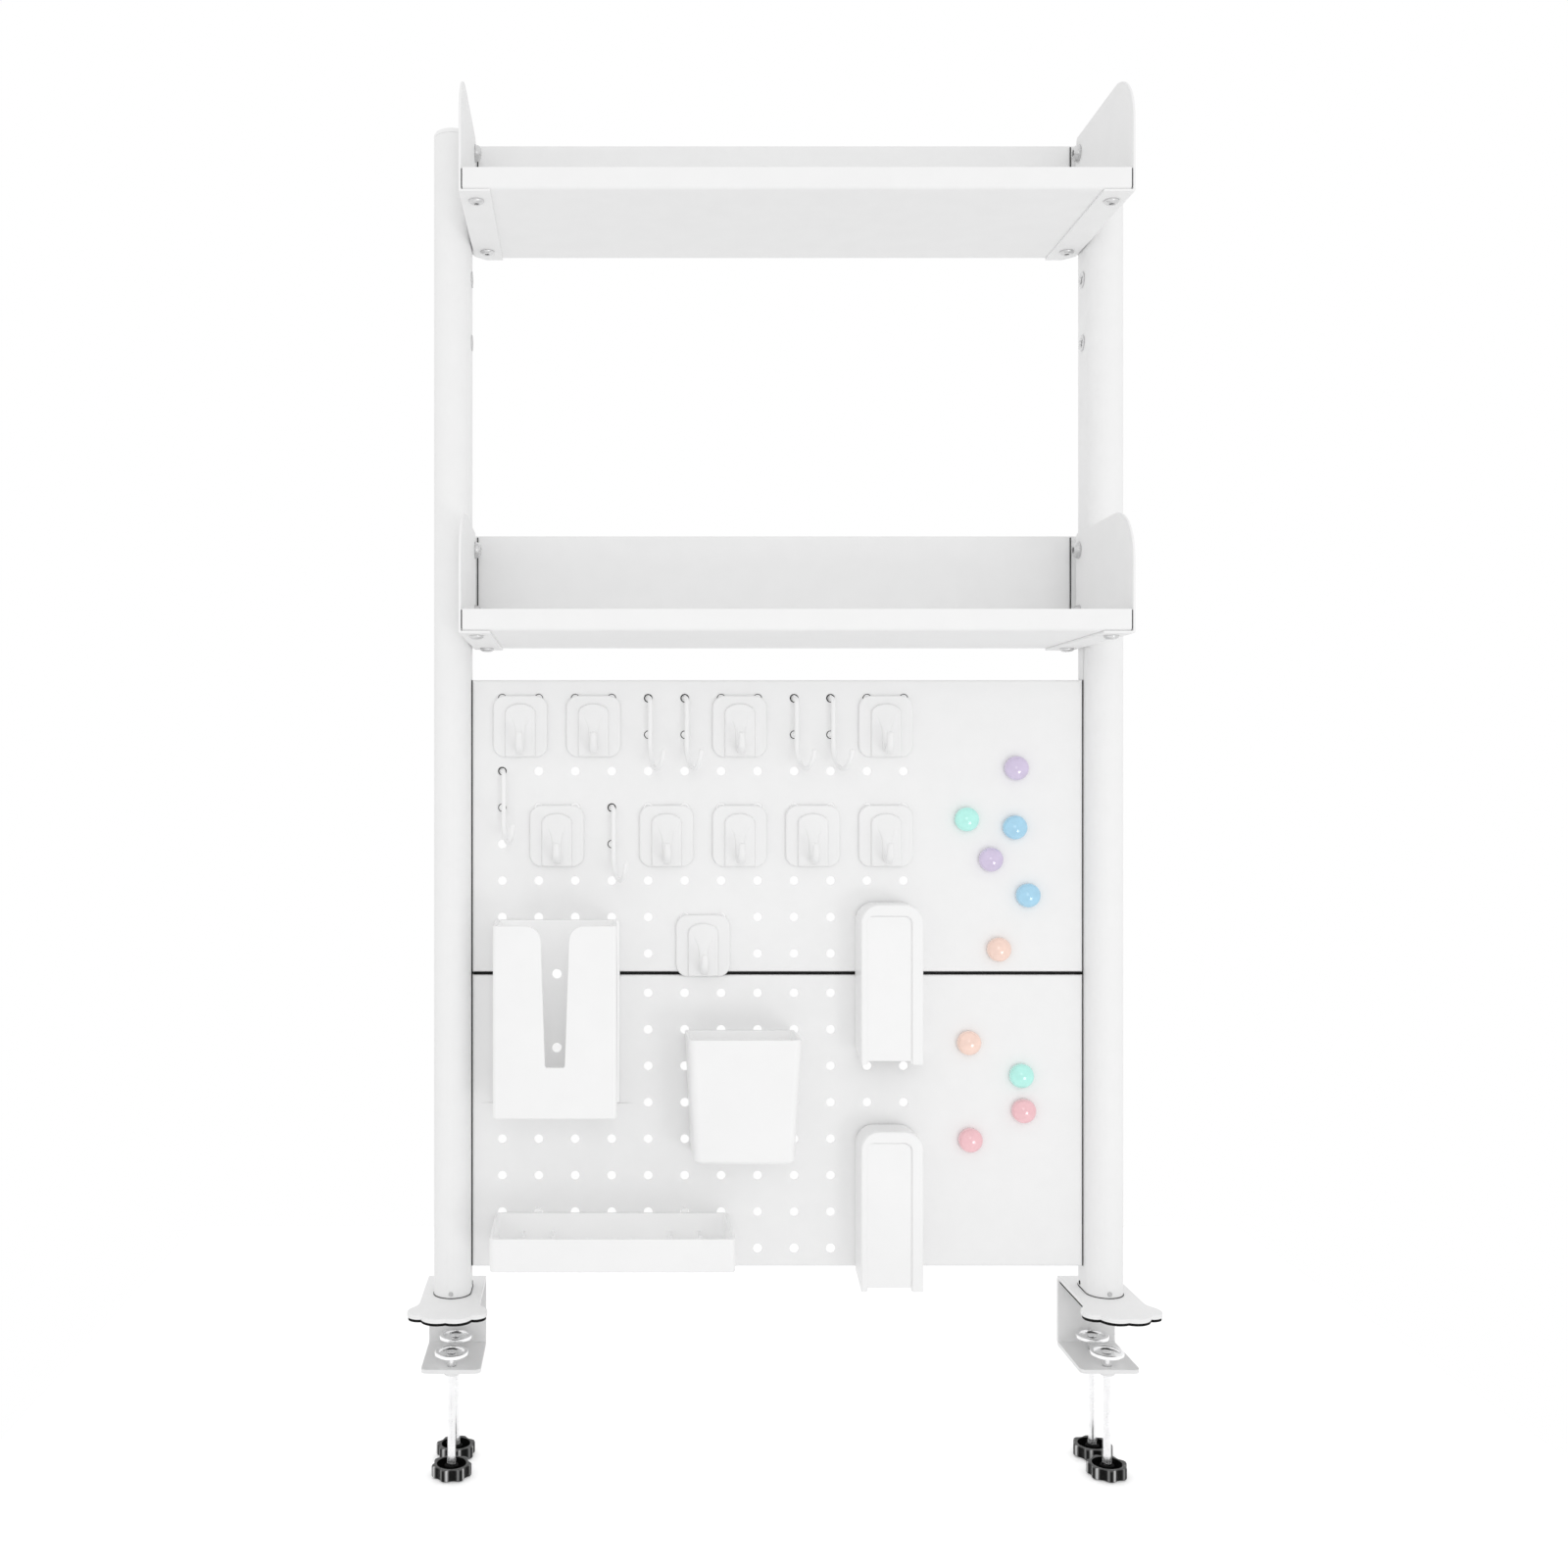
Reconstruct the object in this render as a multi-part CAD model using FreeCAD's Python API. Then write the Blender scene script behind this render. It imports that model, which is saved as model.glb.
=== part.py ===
import FreeCAD, Part
import math
import os

# Desk organizer that clamps on a desk's rear edge: two posts carry two shelves and two pegboards,
# and hooks, boxes, holders and magnets hang on the boards.
# Millimetres, +Z up, -Y towards the person at the desk. The origin lies midway between the two
# clamps, on the desk's top surface and on the desk's rear edge, which the clamps' backs touch.

# Posts: flat-oval tubes
post_gap = 420.0
post_width = 25.0
post_depth = 40.0
post_wall = 1.5
post_length = 788.0
post_y = -31.0
cap_height = 4.0
cap_plug = 9.0
cap_fit = 0.1
cap_nut_gap = 1.0
cap_dome = 0.8

# Desk clamps: a C bracket under each post
clamp_sheet = 3.0
clamp_width = 40.5
clamp_reach = 53.0
clamp_mouth = 42.0
clamp_bend = 4.0
plate_reach = 90.0
plate_straight = 58.0
lobe_width = 16.6
scallop_width = 53.0
scallop_side = 75.0
outer_cusp = 83.5
lobe_bulge = 4.4
pad_thickness = 2.0
pad_inset = 0.8
pad_rear_gap = 0.5
spigot_height = 20.0
spigot_wall = 2.5
spigot_fit = 0.1
collar_height = 3.0
collar_wall = 2.0

# Clamp screws: a press disc on a threaded rod that a knob turns
rod_r = 3.0
rod_fit = 0.05
rod_chamfer = 0.5
rod_tip = 116.0
rod_rear_y = -13.0
rod_spacing = 32.0
neck_r = 2.0
neck_fit = 0.05
neck_play = 0.15
disc_r = 11.3
disc_top = 32.0
disc_rim = 3.0
dish_r = 8.5
dish_depth = 1.4
disc_boss_r = 4.6
disc_boss_height = 1.5
disc_boss_flare = 0.6
disc_low_chamfer_r = 1.2
disc_low_chamfer = 0.8
disc_edge = 0.6
dish_flare = 0.5
rivet_r = 3.3
rivet_height = 0.9
rivet_side = 0.4
rivet_crown_r = 0.6
knob_lobes = 7
knob_r = 13.7
knob_flute = 1.9
knob_lobe_share = 0.17
knob_lobe_crown = 0.25
knob_edge = 0.7
knob_height = 8.0
knob_floor = 2.5
knob_rim = 1.8
knob_hub_r = 4.8
knob_hub_drop = 1.0

# Fasteners
foot_screw_r = 1.5
foot_screw_length = 4.0
foot_screw_z = 3.0
foot_screw_shift = 6.0
nut_rim = 0.8
m6_r = 3.0
m6_nut_rim_r = 5.5
m6_nut_body_r = 4.5
m6_nut_length = 12.0
m6_head_r = 5.3
m6_head_height = 3.2
m6_flange_r = 5.9
m6_flange = 1.0
m6_grip = 9.0
m5_r = 2.5
m5_nut_rim_r = 4.4
m5_nut_body_r = 3.6
m5_nut_length = 11.0
m5_head_r = 4.1
m5_head_height = 2.6
m5_grip = 8.0
m4_r = 2.0
m4_head_r = 4.8
m4_head_height = 2.4
m4_nut_r = 3.8
m4_nut_height = 2.2
socket_share = 0.75
socket_sides = 6
socket_floor = 0.35
head_side = 0.3
head_shoulder_r = 0.86
head_shoulder = 0.72
head_crown_r = 0.6
nut_grip_share = 0.6
nut_bore_share = 0.7
bolt_hole_fit = 0.2

# Shelves: a folded deck between two side plates
shelf_depth = 130.0
shelf_height = 80.0
shelf_front = -141.0
shelf_top_above_posts = 6.0
shelf_drop = 273.0
shelf_sheet = 1.5
side_sheet = 1.5
side_flange = 19.5
side_corner_r = 35.0
side_rear_corner_r = 3.0
side_behind_bolt = 6.5
side_flange_chamfer = 8.0
side_bend = 1.0
deck_side_gap = 0.7
ear_reach = 213.5
deck_bend = 2.5
lip_height = 13.5
side_screw_front = 15.6
side_screw_rear = 20.3
side_screw_edge = 9.9
shelf_bolt_drop = 12.5
shelf_bolt_pitch = 43.5
spare_nut_rows = 2

# Pegboards: folded sheets with a square grid of holes
hole_pitch = 25.0
hole_r = 3.0
board_height = 200.0
board_bottom = 22.0
board_seam = 2.0
board_front = -35.0
board_sheet = 1.2
board_flange = 15.0
board_bend = 2.0
board_first_column = 20.5
board_edge = 12.0
magnet_zone = 122.0
board_bolt_inset = 50.0
board_bolt_back = 6.5

# What hangs on the boards
hang_gap = 0.1
peg_fit = 0.55
peg_length = 5.0
peg_tip = 0.6

hook_width = 37.0
hook_height = 42.0
hook_plate = 3.0
hook_corner_r = 8.0
hook_peg_drop = 1.6
boss_width = 20.5
boss_drop = 5.6
boss_rise = 2.2
boss_shoulder = 0.55
boss_foot = 1.0
boss_edge = 0.8
hook_edge = 1.0
prong_width = 9.0
prong_thick = 3.6
prong_reach = 17.0
prong_root_drop = 20.0
prong_tip_drop = 25.0
prong_low = 3.5

wire_r = 1.6
wire_stand = 4.5
wire_bend = 3.2
wire_back = 5.0
wire_lock = 8.0
wire_drop = 50.2
wire_reach = 33.0
wire_tip_angle = 72.0
wire_turn = 14.0
wire_plug_r = 2.3
wire_plug_proud = 0.8
wire_plug_sunk = 1.0
wire_neck_r = 1.1
wire_neck_side = 0.6

slot_box_width = 81.0
slot_box_flange = 2.5
slot_box_depth = 52.0
slot_box_height = 126.0
slot_box_bottom = 134.0
slot_box_wall = 2.0
slot_box_back = 3.0
slot_box_corner_r = 2.5
slot_box_foot_r = 1.2
slot_top_width = 18.5
slot_low_width = 12.8
slot_floor = 33.5
slot_shoulder_r = 10.0
slot_corner_r = 1.5
box_magnet_r = 3.0
box_magnet_fit = 0.05
box_magnet_low = 38.5
box_magnet_spacing = 50.5

cup_top_width = 75.0
cup_low_width = 67.0
cup_top_depth = 45.0
cup_low_depth = 38.0
cup_height = 83.5
cup_above_row = 24.8
cup_wall = 2.0
cup_corner_r = 5.0
cup_back_r = 1.5
cup_foot_chamfer = 2.0
cup_inner_back_r = 1.0
cup_columns = (7, 8)
cup_rows = (3, 5)

tray_width = 159.0
tray_depth = 64.5
tray_height = 21.6
tray_above_row = -0.2
tray_wall = 2.0
tray_corner_r = 4.0
tray_rib = 2.0
tray_rib_height = 7.5
tray_rib_depth = 12.0
tray_rib_half = 10.0
tray_foot_r = 1.0
tray_columns = (2, 6)
tray_row = 7

holder_width = 41.6
holder_height = 107.5
holder_depth = 26.0
holder_wall = 2.0
holder_above_row = 35.4
holder_back = 1.5
holder_top_r = 12.5
holder_back_drop = 7.4
holder_back_corner_r = 5.5
holder_slant = 8.5
holder_edge_r = 1.2
holder_columns = (11, 12)
lower_holder_row = 6
panel_recess = 1.0
panel_left = 3.6
panel_right = 7.2
panel_top = 7.5
panel_corner_r = 5.0
panel_groove = 0.8
panel_groove_depth = 0.5
leg_width = 4.5
leg_height = 2.8

magnet_r = 8.25
magnet_edge_r = 3.4
magnet_height = 7.0

# Hooks as (left column, upper row) and wire hooks as (column, row), counted from 1 at the upper
# board's top left hole
hook_places = ((1, 1), (3, 1), (7, 1), (11, 1), (2, 4), (5, 4), (7, 4), (9, 4), (11, 4), (6, 7))
wire_hook_places = ((5, 1), (6, 1), (9, 1), (10, 1), (1, 3), (4, 4))

# Magnets as (distance from the boards' right edge, height above the lower board's lower edge)
magnet_places = {
    "lavender_magnets": ((46.0, 341.5), (63.5, 279.0)),
    "mint_magnets": ((80.0, 306.5), (42.5, 131.0)),
    "blue_magnets": ((47.0, 301.0), (38.0, 254.5)),
    "peach_magnets": ((58.0, 217.5), (78.5, 153.5)),
    "pink_magnets": ((41.0, 107.0), (77.5, 87.0)),
}

# Worked out from the sizes above
tiny = 0.01
post_x = (post_gap + post_width) / 2
plate_top = pad_thickness + clamp_sheet
post_top = plate_top + post_length
post_front = post_y - post_depth / 2
board_width = post_gap - 2 * nut_rim
board_right = board_width / 2
columns = int((board_width - board_first_column - magnet_zone) / hole_pitch) + 1
rows = int((board_height - 2 * board_edge) / hole_pitch) + 1
first_row_drop = (board_height - (rows - 1) * hole_pitch) / 2
upper_board_bottom = board_bottom + board_height + board_seam
peg_r = hole_r - peg_fit
hang_y = board_front - hang_gap
shelf_rear = shelf_front + shelf_depth
side_outer = board_width / 2
side_inner = side_outer - side_sheet
upper_shelf_base = post_top + shelf_top_above_posts - shelf_height
lower_shelf_base = upper_shelf_base - shelf_drop
clamp_low = -clamp_mouth
rod_ys = {"rear": rod_rear_y, "front": rod_rear_y - rod_spacing}
board_bolt_y = board_front + board_bolt_back
sides = {"left": -1, "right": 1}


def v(x, y, z):
    """Return a point or direction."""
    return FreeCAD.Vector(x, y, z)


def block(low, high):
    """Return a box between two opposite corners."""
    size = high - low
    return Part.makeBox(size.x, size.y, size.z, low)


def rod(radius, base, direction, length):
    """Return a cylinder from base along direction."""
    return Part.makeCylinder(radius, length, base, direction)


def lathe(points, centre, axis=v(0, 0, 1)):
    """Turn an outline of (radius, height) points about an axis through centre."""
    outline = Part.makePolygon([v(r, 0, h) for r, h in points + points[:1]])
    shape = Part.Face(outline).revolve(v(0, 0, 0), v(0, 0, 1), 360)
    shape.Placement = FreeCAD.Placement(centre, FreeCAD.Rotation(v(0, 0, 1), axis))
    return shape


def prism(edges, direction):
    """Extrude the face that a closed run of edges bounds."""
    return Part.Face(Part.Wire(edges)).extrude(direction)


def polygon_prism(points, direction):
    """Extrude a closed polygon."""
    return Part.Face(Part.makePolygon(points + points[:1])).extrude(direction)


def round_edges(shape, radius, wanted):
    """Fillet the edges whose middle point and direction pass a test."""
    picked = []
    for edge in shape.Edges:
        middle = edge.valueAt((edge.FirstParameter + edge.LastParameter) / 2)
        along = edge.tangentAt((edge.FirstParameter + edge.LastParameter) / 2)
        if wanted(middle, along):
            picked.append(edge)
    return shape.makeFillet(radius, picked)


def runs(component):
    """Tell whether an edge's unit direction lies along the axis of this component."""
    return abs(component) > 1 - tiny


def near(a, b):
    """Tell whether two lengths agree."""
    return abs(a - b) < tiny


def flat_oval(width, depth, centre, height):
    """Return a prism whose section has flat sides along Y and full round ends."""
    end_r = width / 2
    half = depth / 2 - end_r
    a = centre + v(-end_r, -half, 0)
    b = centre + v(end_r, -half, 0)
    c = centre + v(end_r, half, 0)
    d = centre + v(-end_r, half, 0)
    edges = [
        Part.Arc(a, centre + v(0, -half - end_r, 0), b).toShape(),
        Part.makeLine(b, c),
        Part.Arc(c, centre + v(0, half + end_r, 0), d).toShape(),
        Part.makeLine(d, a),
    ]
    return prism(edges, v(0, 0, height))


def rounded_plate(width, height, radius, centre, thickness):
    """Return an upright plate with rounded corners, its back face at centre.y."""
    low = centre - v(width / 2, thickness, height / 2)
    high = centre + v(width / 2, 0, height / 2)
    plate = block(low, high)
    return round_edges(plate, radius, lambda m, t: runs(t.y))


def save(name, solids):
    """Write one sub-part, a solid or a group of alike solids."""
    shape = solids[0] if len(solids) == 1 else Part.makeCompound(solids)
    shape.exportStep(f"parts/{name}.step")


def column_x(column):
    """Return the place of a column of holes, counted from 1 at the left."""
    return -board_width / 2 + board_first_column + (column - 1) * hole_pitch


def row_z(bottom, row):
    """Return the height of a row of holes, counted from 1 at the board's top."""
    return bottom + board_height - first_row_drop - (row - 1) * hole_pitch


def shelf_bolt_heights():
    """Return the heights of the M6 nuts that hold the shelves, the spare ones included."""
    top = upper_shelf_base + shelf_height - shelf_bolt_drop
    used_and_spare = [top - i * shelf_bolt_pitch for i in range(2 + spare_nut_rows)]
    low_top = lower_shelf_base + shelf_height - shelf_bolt_drop
    return used_and_spare, [low_top, low_top - shelf_bolt_pitch]


def shelf_bolts_used():
    """Return the heights where a bolt holds a shelf."""
    upper, lower = shelf_bolt_heights()
    return upper[:2] + lower


def board_bolt_heights():
    """Return the heights of the bolts that hold the boards."""
    heights = []
    for bottom in (board_bottom, upper_board_bottom):
        heights.append(bottom + board_bolt_inset)
        heights.append(bottom + board_height - board_bolt_inset)
    return heights


# ---------------------------------------------------------------- posts


def make_post(side):
    """Return one tube with the holes for its nuts and its foot screw."""
    foot = v(side * post_x, post_y, plate_top)
    tube = flat_oval(post_width, post_depth, foot, post_length)
    tube = tube.cut(
        flat_oval(post_width - 2 * post_wall, post_depth - 2 * post_wall, foot, post_length)
    )
    upper, lower = shelf_bolt_heights()
    reach = post_wall + 2
    face_x = side * (post_gap / 2 - 1)
    for z in upper + lower:
        tube = tube.cut(rod(m6_nut_body_r, v(face_x, post_y, z), v(side, 0, 0), reach))
    for z in board_bolt_heights():
        tube = tube.cut(rod(m5_nut_body_r, v(face_x, board_bolt_y, z), v(side, 0, 0), reach))
    for seat, inward in foot_screw_seats(side):
        tube = tube.cut(rod(foot_screw_r, seat - inward, inward, reach))
    return tube


def foot_screw_seats(side):
    """Return where a post's two foot screws start, and the way they point."""
    z = plate_top + foot_screw_z
    return (
        (v(side * post_x, post_front, z), v(0, 1, 0)),
        (v(side * post_gap / 2, post_y + foot_screw_shift, z), v(side, 0, 0)),
    )


def make_post_cap(side):
    """Return the moulded cap in a post's upper end."""
    seat = v(side * post_x, post_y, post_top)
    lid = flat_oval(post_width, post_depth, seat, cap_height)
    crown = post_top + cap_height
    lid = round_edges(lid, cap_height * cap_dome, lambda m, t: near(m.z, crown))
    inner_width = post_width - 2 * post_wall - 2 * cap_fit
    inner_depth = post_depth - 2 * post_wall - 2 * cap_fit
    plug = flat_oval(inner_width, inner_depth, seat - v(0, 0, cap_plug), cap_plug)
    hollow = flat_oval(
        inner_width - 2 * post_wall,
        inner_depth - 2 * post_wall,
        seat - v(0, 0, cap_plug),
        cap_plug - post_wall,
    )
    half_gap = m6_nut_body_r + cap_nut_gap
    notch = block(
        seat - v(post_width, half_gap, cap_plug + 1),
        seat + v(post_width, half_gap, -tiny),
    )
    return lid.fuse(plug.cut([hollow, notch])).removeSplitter()


def nut(side, z, y, body_r, rim_r, bore_r, length):
    """Return one rivet nut in a post's inner face, its rim standing in the gap."""
    face = v(side * post_gap / 2, y, z)
    body = rod(body_r, face, v(side, 0, 0), length)
    body = body.fuse(rod(rim_r, face, v(-side, 0, 0), nut_rim))
    bore = rod(bore_r, face - v(side * nut_rim, 0, 0), v(side, 0, 0), length + nut_rim)
    return body.cut(bore)


def make_rivet_nuts():
    """Return all rivet nuts of both posts."""
    upper, lower = shelf_bolt_heights()
    nuts = []
    for side in sides.values():
        for z in upper + lower:
            nuts.append(nut(side, z, post_y, m6_nut_body_r, m6_nut_rim_r, m6_r, m6_nut_length))
        for z in board_bolt_heights():
            y = board_bolt_y
            nuts.append(nut(side, z, y, m5_nut_body_r, m5_nut_rim_r, m5_r, m5_nut_length))
    return nuts


def socket_bolt(seat, direction, shank_r, grip, head_r, head_height):
    """Return a button-head bolt: the shank runs along direction from the seat."""
    axis = direction * -1
    dome = [
        (0, 0),
        (head_r, 0),
        (head_r, head_height * head_side),
        (head_r * head_shoulder_r, head_height * head_shoulder),
        (head_r * head_crown_r, head_height),
        (0, head_height),
    ]
    head = lathe(dome, seat, axis)
    corner_r = shank_r * socket_share * 2 / math.sqrt(3)
    turns = [2 * math.pi * i / socket_sides for i in range(socket_sides)]
    outline = [v(corner_r * math.cos(a), corner_r * math.sin(a), 0) for a in turns]
    socket = polygon_prism(outline, v(0, 0, head_height))
    floor = seat + axis * (head_height * socket_floor)
    socket.Placement = FreeCAD.Placement(floor, FreeCAD.Rotation(v(0, 0, 1), axis))
    return head.cut(socket).fuse(rod(shank_r, seat, direction, grip)).removeSplitter()


def make_shelf_bolts():
    """Return the flanged M6 bolts that hold the shelves' side plates on the posts."""
    bolts = []
    for side in sides.values():
        for z in shelf_bolts_used():
            seat = v(side * side_inner, post_y, z)
            out = v(side, 0, 0)
            grip = side_sheet + nut_rim + m6_grip
            washer_seat = seat - out * m6_flange
            bolt = socket_bolt(washer_seat, out, m6_r, grip, m6_head_r, m6_head_height)
            bolts.append(bolt.fuse(rod(m6_flange_r, washer_seat, out, m6_flange)))
    return bolts


def make_board_bolts():
    """Return the M5 bolts that hold the boards' side flanges on the posts."""
    bolts = []
    for side in sides.values():
        for z in board_bolt_heights():
            seat = v(side * (board_right - board_sheet), board_bolt_y, z)
            grip = board_sheet + nut_rim + m5_grip
            out = v(side, 0, 0)
            bolts.append(socket_bolt(seat, out, m5_r, grip, m5_head_r, m5_head_height))
    return bolts


def make_foot_screws():
    """Return the set screws through the posts' front walls into the clamps' spigots."""
    screws = []
    for side in sides.values():
        for seat, inward in foot_screw_seats(side):
            body = rod(foot_screw_r, seat, inward, foot_screw_length)
            socket = rod(foot_screw_r * socket_share, seat, inward, foot_screw_r)
            screws.append(body.cut(socket))
    return screws


# ---------------------------------------------------------------- desk clamps


def plate_outline(centre_x, inset, z):
    """Return the edges of a clamp's top plate seen from above, shrunk by an inset."""
    half = clamp_width / 2 - inset
    wide = scallop_width / 2 - inset
    front = -plate_reach + inset
    cusp_y = -outer_cusp + inset
    side_y = -scallop_side
    flare_y = -plate_straight

    def p(x, y):
        return v(centre_x + x, y, z)

    edges = [Part.makeLine(p(half, 0), p(-half, 0))]
    for mirror in (-1, 1):
        flare = Part.BezierCurve()
        flare.setPoles(
            [
                p(mirror * half, flare_y),
                p(mirror * half, (flare_y + side_y) / 2),
                p(mirror * wide, (flare_y + side_y) / 2),
                p(mirror * wide, side_y),
            ]
        )
        outer = (wide + lobe_width) / 2 + lobe_bulge / 2
        inner = -(plate_reach + outer_cusp) / 2 - lobe_bulge + inset
        run = [
            Part.makeLine(p(mirror * half, 0), p(mirror * half, flare_y)),
            flare.toShape(),
            Part.Arc(
                p(mirror * wide, side_y),
                p(mirror * outer, (side_y + cusp_y) / 2 - lobe_bulge / 2),
                p(mirror * lobe_width, cusp_y),
            ).toShape(),
            Part.Arc(
                p(mirror * lobe_width, cusp_y),
                p(mirror * lobe_width / 2, inner),
                p(0, front),
            ).toShape(),
        ]
        edges += run
    return Part.__sortEdges__(edges)


def make_bracket(side):
    """Return one C bracket: scalloped top plate, back, lower plate with two tapped collars, spigot."""
    x = side * post_x
    half = clamp_width / 2
    low = clamp_low - clamp_sheet
    top = prism(plate_outline(x, 0, pad_thickness), v(0, 0, clamp_sheet))
    back = block(v(x - half, 0, low), v(x + half, clamp_sheet, plate_top))
    shelf = block(v(x - half, -clamp_reach, low), v(x + half, 0, clamp_low))
    shelf = round_edges(shelf, clamp_bend, lambda m, t: runs(t.z) and near(m.y, -clamp_reach))
    body = top.fuse([back, shelf]).removeSplitter()

    def outer_corner(m, t):
        return runs(t.x) and near(m.y, clamp_sheet) and (near(m.z, low) or near(m.z, plate_top))

    def inner_corner(m, t):
        return runs(t.x) and near(m.y, 0) and (near(m.z, clamp_low) or near(m.z, pad_thickness))

    body = round_edges(body, clamp_bend, outer_corner)
    body = round_edges(body, clamp_bend - clamp_sheet, inner_corner)
    foot = v(x, post_y, plate_top)
    spigot_width = post_width - 2 * post_wall - 2 * spigot_fit
    spigot_depth = post_depth - 2 * post_wall - 2 * spigot_fit
    spigot = flat_oval(spigot_width, spigot_depth, foot, spigot_height)
    spigot = spigot.cut(
        flat_oval(spigot_width - 2 * spigot_wall, spigot_depth - 2 * spigot_wall, foot, spigot_height)
    )
    for seat, inward in foot_screw_seats(side):
        spigot = spigot.cut(rod(foot_screw_r, seat, inward, foot_screw_length + 1))
    body = body.fuse(spigot)
    for y in rod_ys.values():
        collar = rod(rod_r + collar_wall, v(x, y, low - collar_height), v(0, 0, 1), collar_height)
        body = body.fuse(collar)
        bore = rod(rod_r + rod_fit, v(x, y, low - collar_height - 1), v(0, 0, 1), clamp_mouth)
        body = body.cut(bore)
    return body.removeSplitter()


def make_desk_pad(side):
    """Return the rubber sheet under a clamp's top plate."""
    x = side * post_x
    pad = prism(plate_outline(x, pad_inset, 0), v(0, 0, pad_thickness))
    keep = -(clamp_bend - clamp_sheet) - pad_rear_gap
    return pad.cut(block(v(x - clamp_width, keep, -1), v(x + clamp_width, 1, pad_thickness + 1)))


def make_disc(x, y):
    """Return a dished press disc with a boss below and a hole for the rod's neck."""
    top = -disc_top
    floor = top - dish_depth
    under = top - disc_rim
    boss = under - disc_boss_height
    hole = neck_r + neck_fit
    outline = [
        (hole, boss),
        (disc_boss_r, boss),
        (disc_boss_r + disc_boss_flare, under),
        (disc_r - disc_low_chamfer_r, under),
        (disc_r, under + disc_low_chamfer),
        (disc_r, top - disc_edge),
        (disc_r - disc_edge, top),
        (dish_r + dish_flare, top),
        (dish_r, floor),
        (hole, floor),
    ]
    return lathe(outline, v(x, y, 0))


def make_rod(x, y):
    """Return a clamp rod: thread body, neck and the rivet head that keeps the disc on."""
    floor = -disc_top - dish_depth
    shoulder = -disc_top - disc_rim - disc_boss_height - neck_play
    head = floor + neck_play
    outline = [
        (0, -rod_tip),
        (rod_r - rod_chamfer, -rod_tip),
        (rod_r, -rod_tip + rod_chamfer),
        (rod_r, shoulder - rod_chamfer),
        (rod_r - rod_chamfer, shoulder),
        (neck_r, shoulder),
        (neck_r, head),
        (rivet_r, head),
        (rivet_r, head + rivet_height * rivet_side),
        (rivet_r * rivet_crown_r, head + rivet_height),
        (0, head + rivet_height),
    ]
    return lathe(outline, v(x, y, 0))


def knob_outline(z):
    """Return the edges of a knob seen from above: lobes with concave flutes between them."""
    step = 2 * math.pi / knob_lobes
    lobe_half = step * knob_lobe_share
    edges = []

    def p(radius, angle):
        return v(radius * math.cos(angle), radius * math.sin(angle), z)

    for i in range(knob_lobes):
        start = i * step
        a = p(knob_r - knob_lobe_crown, start - lobe_half)
        b = p(knob_r - knob_lobe_crown, start + lobe_half)
        c = p(knob_r - knob_lobe_crown, start + step - lobe_half)
        edges.append(Part.Arc(a, p(knob_r, start), b).toShape())
        edges.append(Part.Arc(b, p(knob_r - knob_flute, start + step / 2), c).toShape())
    return edges


def make_knob(x, y):
    """Return a star knob with a deep dish round a hub that holds the rod."""
    low = -rod_tip
    rim = low + knob_height
    body = prism(knob_outline(low), v(0, 0, knob_height))
    body = round_edges(body, knob_edge, lambda m, t: near(m.z, low) or near(m.z, rim))
    dish_radius = knob_r - knob_flute - knob_rim
    dish = rod(dish_radius, v(0, 0, low + knob_floor), v(0, 0, 1), knob_height)
    hub = rod(knob_hub_r, v(0, 0, low + knob_floor), v(0, 0, 1), knob_height)
    body = body.cut(dish.cut(hub))
    trim = rod(dish_radius, v(0, 0, rim - knob_hub_drop), v(0, 0, 1), knob_height)
    body = body.cut(trim)
    body = body.cut(rod(rod_r, v(0, 0, low - 1), v(0, 0, 1), knob_height + 2))
    body.translate(v(x, y, 0))
    return body


# ---------------------------------------------------------------- shelves


def make_deck(base):
    """Return a shelf's folded sheet: front lip, deck and back plate, with its press nuts."""
    floor = base + side_sheet
    top = base + shelf_height
    half = side_inner - deck_side_gap
    deck = block(v(-half, shelf_front, floor), v(half, shelf_rear, floor + shelf_sheet))
    lip_top = floor + lip_height
    lip = block(v(-half, shelf_front, floor), v(half, shelf_front + shelf_sheet, lip_top))
    back = block(v(-half, shelf_rear - shelf_sheet, floor), v(half, shelf_rear, top))
    body = deck.fuse([lip, back]).removeSplitter()

    def outer_corner(m, t):
        return runs(t.x) and near(m.z, floor) and (near(m.y, shelf_front) or near(m.y, shelf_rear))

    def inner_corner(m, t):
        inner_y = (shelf_front + shelf_sheet, shelf_rear - shelf_sheet)
        return runs(t.x) and near(m.z, floor + shelf_sheet) and min(
            abs(m.y - y) for y in inner_y
        ) < tiny

    body = round_edges(body, deck_bend, outer_corner)
    body = round_edges(body, deck_bend - shelf_sheet, inner_corner)
    ear_low = floor + deck_bend
    ears = block(
        v(-ear_reach, shelf_rear - shelf_sheet, ear_low),
        v(ear_reach, shelf_rear, top),
    )
    body = body.fuse(ears)
    for x, y in side_screw_places():
        nut_base = v(x, y, floor + shelf_sheet)
        body = body.fuse(rod(m4_nut_r, nut_base, v(0, 0, 1), m4_nut_height))
        hole = rod(m4_r, v(x, y, floor - 1), v(0, 0, 1), 1 + shelf_sheet + m4_nut_height * nut_bore_share)
        body = body.cut(hole)
    return body.removeSplitter()


def side_screw_places():
    """Return where screws join the side plates' flanges to a deck."""
    places = []
    for side in sides.values():
        x = side * (side_outer - side_screw_edge)
        places.append((x, shelf_front + side_screw_front))
        places.append((x, shelf_rear - side_screw_rear))
    return places


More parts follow.
